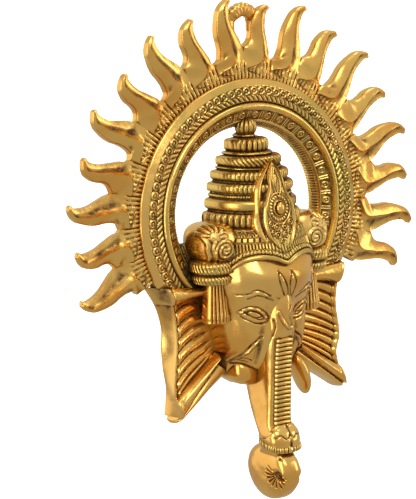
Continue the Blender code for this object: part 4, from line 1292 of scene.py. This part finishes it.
def curl():
    """The trunk's curled end: a thick egg seen from the side, with a ribbed volute on each face."""
    turn = turns(220)
    tilt = np.linspace(-QUARTER, QUARTER, 150)[:, None]
    share = squared(np.sin(tilt), CURL_SQUARENESS)
    size = squared(np.cos(tilt), CURL_SQUARENESS)
    depth = CURL_CENTRE[0] + CURL_RADII[0] * size * np.cos(turn) * (1 + 0.08 * np.sin(turn))
    height = CURL_CENTRE[1] + CURL_RADII[1] * size * np.sin(turn)
    grid = stacked(share * CURL_HALF_WIDTH, depth, height)
    out, angle = polar(depth - VOLUTE_EYE[0], (height - VOLUTE_EYE[1]) * VOLUTE_SQUASH, (0.0, 0.0))
    ribs = between(out, VOLUTE_REACH) * ramp(0.45, 0.0, np.sin(angle + 0.35))
    relief = ribs * (abs(np.sin(angle * 9)) ** 0.7 * 2.4 - 2.0) - 3.4 * hump(out - 1.0, 2.9)
    for line, width, cut in ((CURL_MOUTH, 1.0, 1.8), (CURL_FOLD, 1.0, 1.3), (CURL_FINGER, 3.0, -1.0)):
        relief += lines_cut(depth, height, [line], width, cut)
    relief = relief * ramp(0.5, 0.8, abs(share))
    added_darkening = np.clip(-relief, 0, 2) * 0.3
    loft("trunk_curl", pushed(grid, relief + unevenness(grid, 9.0, 0.15)), POLISHED, added_darkening)


# The ears

# Rims, inner edges and lower edges as (distance from the middle, height), from the top down or inwards
LEFT_RIM = [(78.5, -47.0), (73.0, -62.0), (70.8, -77.8), (70.6, -91.2), (72.4, -106.4), (73.6, -121.0)]
LEFT_RIM += [(72.6, -131.0), (70.4, -141.5)]
RIGHT_RIM = [(77.8, -47.0), (73.4, -64.0), (72.0, -79.0), (74.2, -93.0), (74.6, -103.0), (71.6, -114.0)]
RIGHT_RIM += [(74.4, -127.0), (77.6, -138.5)]
# How far the foot of each ear's side wall stands outside its rim, from the top down
LEFT_FLARE = [9.5, 6.0, 3.8, 4.6, 1.8, -1.6, 0.0, 3.6]
RIGHT_FLARE = [8.0, 4.4, 4.0, 4.0, 4.0, 4.0, 2.0, 0.0]
EAR_INNER = [(44.0, -50.0), (44.0, -58.0), (40.0, -68.0), (37.0, -78.0), (34.0, -88.0), (34.5, -95.0)]
EAR_INNER += [(35.5, -101.0), (38.0, -106.0)]
LEFT_LOW = [(70.0, -148.0), (52.0, -136.3), (39.4, -127.6), (24.0, -118.0)]
RIGHT_LOW = [(76.5, -143.2), (60.0, -132.0), (45.0, -123.0), (28.0, -112.0)]
EAR_SHAPES = {-1: (LEFT_RIM, LEFT_FLARE, LEFT_LOW), 1: (RIGHT_RIM, RIGHT_FLARE, RIGHT_LOW)}
EAR_PLEATS = {-1: 10, 1: 13}
EAR_PLEAT_DEPTH = 1.4
EAR_PLEAT_SAG = 0.14
EAR_RIM_DEPTH = 14.5
EAR_FIELD_DEPTH = 9.0
EAR_ROLL_DEPTH = 19.5
EAR_BACK = 1.0
# The pleats lie between these shares of the way from the head to the rim
EAR_FAN = (0.0, 0.3, 0.86, 1.0)
# The rolls along the top and the lower edge: (share of the ear's height, reach)
TOP_ROLL = (0.055, 0.07)
LOW_ROLL = (0.07, 0.105)
EAR_ROWS = 180
EAR_COLUMNS = 80
EAR_WALL_COLUMNS = 10
LOBE_OVERHANG = 0.07
LOBE_ROUNDING = 0.16
LOBE_TOP = -0.28
LOBE_RISE = 5.5
LOBE_MIDDLE = 0.35
LOBE_BACK = EAR_BACK + 0.4
LOBE_EDGE = EAR_BACK + 0.6
# Across the two rolls below the ear: (share of the way down, depth)
LOBE_SECTION = [(LOBE_TOP, 9.0), (-0.16, 14.4), (-0.04, 17.0), (0.12, 15.0), (0.36, 16.4), (0.6, 15.2)]
LOBE_SECTION += [(0.85, 10.4), (1.0, 5.0)]
LOBE_ROWS = 100
LOBE_COLUMNS = 40


def along_points(points, places):
    """A smooth line through evenly spaced points, read at shares of its length, one to a row."""
    return curve_through(np.linspace(0, 1, len(points)), points, places)[:, None]


def ear(side, word):
    """An ear: pleats fan out from the head to a raised rim, between a roll at the top and one below."""
    rim_points, flares, _ = EAR_SHAPES[side]
    down = np.linspace(0, 1, EAR_ROWS)
    rim = along_points(rim_points, down)
    inner = along_points(EAR_INNER, down)
    place = np.linspace(0, 1, EAR_COLUMNS)
    share = down[:, None]
    point = inner + (rim - inner) * place[:, None]
    roll = rounded(share - TOP_ROLL[0], TOP_ROLL[1]) + rounded(1 - share - LOW_ROLL[0], LOW_ROLL[1])
    bent = share + EAR_PLEAT_SAG * place * (1 - place)
    pleat = 1 - 2 * abs(np.sin(math.pi * EAR_PLEATS[side] * bent)) ** 0.7
    depth = EAR_FIELD_DEPTH + (EAR_RIM_DEPTH - EAR_FIELD_DEPTH) * place**4
    depth = depth - between(place, EAR_FAN) * EAR_PLEAT_DEPTH * pleat * (1 - roll) * (0.55 + 0.6 * place)
    depth = depth + roll * (EAR_ROLL_DEPTH - EAR_FIELD_DEPTH) * (1 - place**4 / 2)
    depth = depth + 0.8 * hump(place - 0.97, 0.025) - 0.9 * hump(place - 0.90, 0.03) * (1 - roll)
    front = stacked(point[..., 0] * side, depth, point[..., 1])
    # The side wall, which falls from the rim to the back
    fall = np.linspace(0, 1, EAR_WALL_COLUMNS + 1)[1:]
    across = (rim[..., 0] + along_points(flares, down) * fall**1.6) * side
    wall = stacked(across, depth[:, -1:] + (EAR_BACK + 0.2 - depth[:, -1:]) * fall, rim[..., 1])
    grid = np.concatenate([front, wall], axis=1)
    grid[..., 1] += unevenness(grid, 7.0, 0.18) * ramp(1.5, 6, grid[..., 1])
    plate(f"ear_{word}", grid, EAR_BACK, EAR_GOLD)


def ear_lobe(side, word):
    """The two rolls below an ear, rounded off at its tip."""
    rim_points, _, low_points = EAR_SHAPES[side]
    rim_end, inner_end = np.array(rim_points[-1]), np.array(EAR_INNER[-1])
    across = np.linspace(-LOBE_OVERHANG, 1, LOBE_ROWS)
    low = along_points(low_points, across)
    crest = rim_end + (inner_end - rim_end) * across[:, None, None]
    tip = np.clip((across + LOBE_OVERHANG) / LOBE_ROUNDING, 0.02, 1)[:, None]
    tip = np.sqrt(1 - (1 - tip) ** 2)
    way = np.linspace(LOBE_TOP, 1, LOBE_COLUMNS)
    bent = LOBE_MIDDLE + (way - LOBE_MIDDLE) * tip
    spread = crest + (low - crest) * np.maximum(bent, 0)[..., None]
    height = spread[..., 1] + LOBE_RISE * np.clip(bent / LOBE_TOP, 0, 1)
    depth = LOBE_EDGE + (curve_through(*zip(*LOBE_SECTION), way) - LOBE_EDGE) * tip**0.8
    plate(f"ear_lobe_{word}", stacked(spread[..., 0] * side, depth, height), LOBE_BACK, EAR_GOLD)


# Camera, light and floor

WHITE = (1.0, 1.0, 1.0, 1.0)
FLOOR_GREY = (0.92, 0.92, 0.92, 1.0)
FLOOR_REACH = 30.0
FLOOR_LEVEL = -0.75
# The world's strength rises from low in the sky to high in it
SKY_HEIGHTS = (-0.6, 0.9)
SKY_STRENGTHS = (0.56, 0.82)
LIT_POINT = Vector((0.0, 0.0, -0.17))
# Soft lights as (name, place, width and height, watts)
LIGHTS = [
    ("key", (-0.75, -1.05, 0.85), (0.85, 0.7), 7.5),
    ("side", (-1.3, -0.1, -0.1), (0.5, 1.1), 4.6),
    ("fill", (1.1, -1.0, 0.1), (0.35, 1.0), 3.2),
    ("behind", (-1.1, 1.1, -0.1), (1.3, 1.3), 3.5),
    ("top", (0.3, -0.15, 1.1), (0.9, 0.4), 2.5),
]


def camera():
    """The photograph's camera: off to the left, slightly above and a little turned."""
    level = math.cos(CAMERA_ELEVATION)
    back = Vector(
        (math.sin(CAMERA_AZIMUTH) * level, -math.cos(CAMERA_AZIMUTH) * level, math.sin(CAMERA_ELEVATION))
    )
    right = Vector((math.cos(CAMERA_AZIMUTH), math.sin(CAMERA_AZIMUTH), 0.0))
    up = back.cross(right)
    halo_centre = Vector((0.0, 0.0, -HALO_DROP * MM))
    eye = halo_centre + back * CAMERA_DISTANCE * MM
    across = (PICTURE[0] / 2 - HALO_CENTRE_PIXEL[0]) / PIXELS_PER_MM * MM
    above = (HALO_CENTRE_PIXEL[1] - PICTURE[1] / 2) / PIXELS_PER_MM * MM
    turned_x, turned_y = math.cos(CAMERA_ROLL), math.sin(CAMERA_ROLL)
    picture_x = right * turned_x - up * turned_y
    picture_y = right * turned_y + up * turned_x
    target = halo_centre + picture_x * across + picture_y * above
    away = (eye - target).normalized()
    picture_x = (picture_x - away * picture_x.dot(away)).normalized()
    lens = bpy.data.cameras.new("camera")
    lens.sensor_width = SENSOR
    lens.lens = PIXELS_PER_MM * CAMERA_DISTANCE / max(PICTURE) * SENSOR
    lens.clip_end = 100.0
    made = bpy.data.objects.new("camera", lens)
    turn = Matrix((picture_x, away.cross(picture_x), away)).transposed()
    made.matrix_world = Matrix.Translation(eye) @ turn.to_4x4()
    bpy.context.scene.collection.objects.link(made)
    bpy.context.scene.camera = made


def softbox(name, place, size, power):
    """A soft rectangular light at a place, facing the middle of the object."""
    lamp = bpy.data.lights.new(name, "AREA")
    lamp.shape = "RECTANGLE"
    lamp.size, lamp.size_y = size
    lamp.energy = power
    made = bpy.data.objects.new(name, lamp)
    made.location = place
    made.rotation_euler = (Vector(place) - LIT_POINT).to_track_quat("Z", "Y").to_euler()
    bpy.context.scene.collection.objects.link(made)


def floor():
    """A plain pale floor that the metal doesn't reflect."""
    mesh = bpy.data.meshes.new("floor")
    sides = ((-1, -1), (1, -1), (1, 1), (-1, 1))
    corners = [(x * FLOOR_REACH, y * FLOOR_REACH, FLOOR_LEVEL) for x, y in sides]
    mesh.from_pydata(corners, [], [(0, 1, 2, 3)])
    made = bpy.data.objects.new("floor", mesh)
    bpy.context.scene.collection.objects.link(made)
    material = bpy.data.materials.new("pale_floor")
    material.use_nodes = True
    shader = material.node_tree.nodes["Principled BSDF"]
    for key, value in (
        ("Base Color", FLOOR_GREY),
        ("Roughness", 0.9),
        ("Specular IOR Level", 0.0),
        ("Emission Color", WHITE),
        ("Emission Strength", 1.0),
    ):
        shader.inputs[key].default_value = value
    mesh.materials.append(material)
    made.visible_glossy = False


def studio():
    """Soft lights under a white sky that is darker low down."""
    world = bpy.data.worlds.new("studio")
    bpy.context.scene.world = world
    world.use_nodes = True
    tree = world.node_tree
    sky = tree.nodes["Background"]
    sky.inputs["Color"].default_value = WHITE
    height = node(tree, "ShaderNodeSeparateXYZ")
    plug(tree, node(tree, "ShaderNodeTexCoord").outputs["Generated"], height.inputs[0])
    plug(tree, ranged(tree, height.outputs[2], *SKY_HEIGHTS, *SKY_STRENGTHS), sky.inputs["Strength"])
    for light in LIGHTS:
        softbox(*light)
    bpy.context.scene.view_settings.view_transform = "Standard"


for old in list(bpy.data.objects):
    if old.type in ("CAMERA", "LIGHT"):
        bpy.data.objects.remove(old, do_unlink=True)
camera()
floor()
studio()
sunburst()
halo_ring()
hanging_arch()
crown()
medallion()
face()
jaws()
trunk()
collar()
curl()
for hand, hand_word in ((-1, "left"), (1, "right")):
    side_ornament(hand, hand_word)
    ear(hand, hand_word)
    ear_lobe(hand, hand_word)
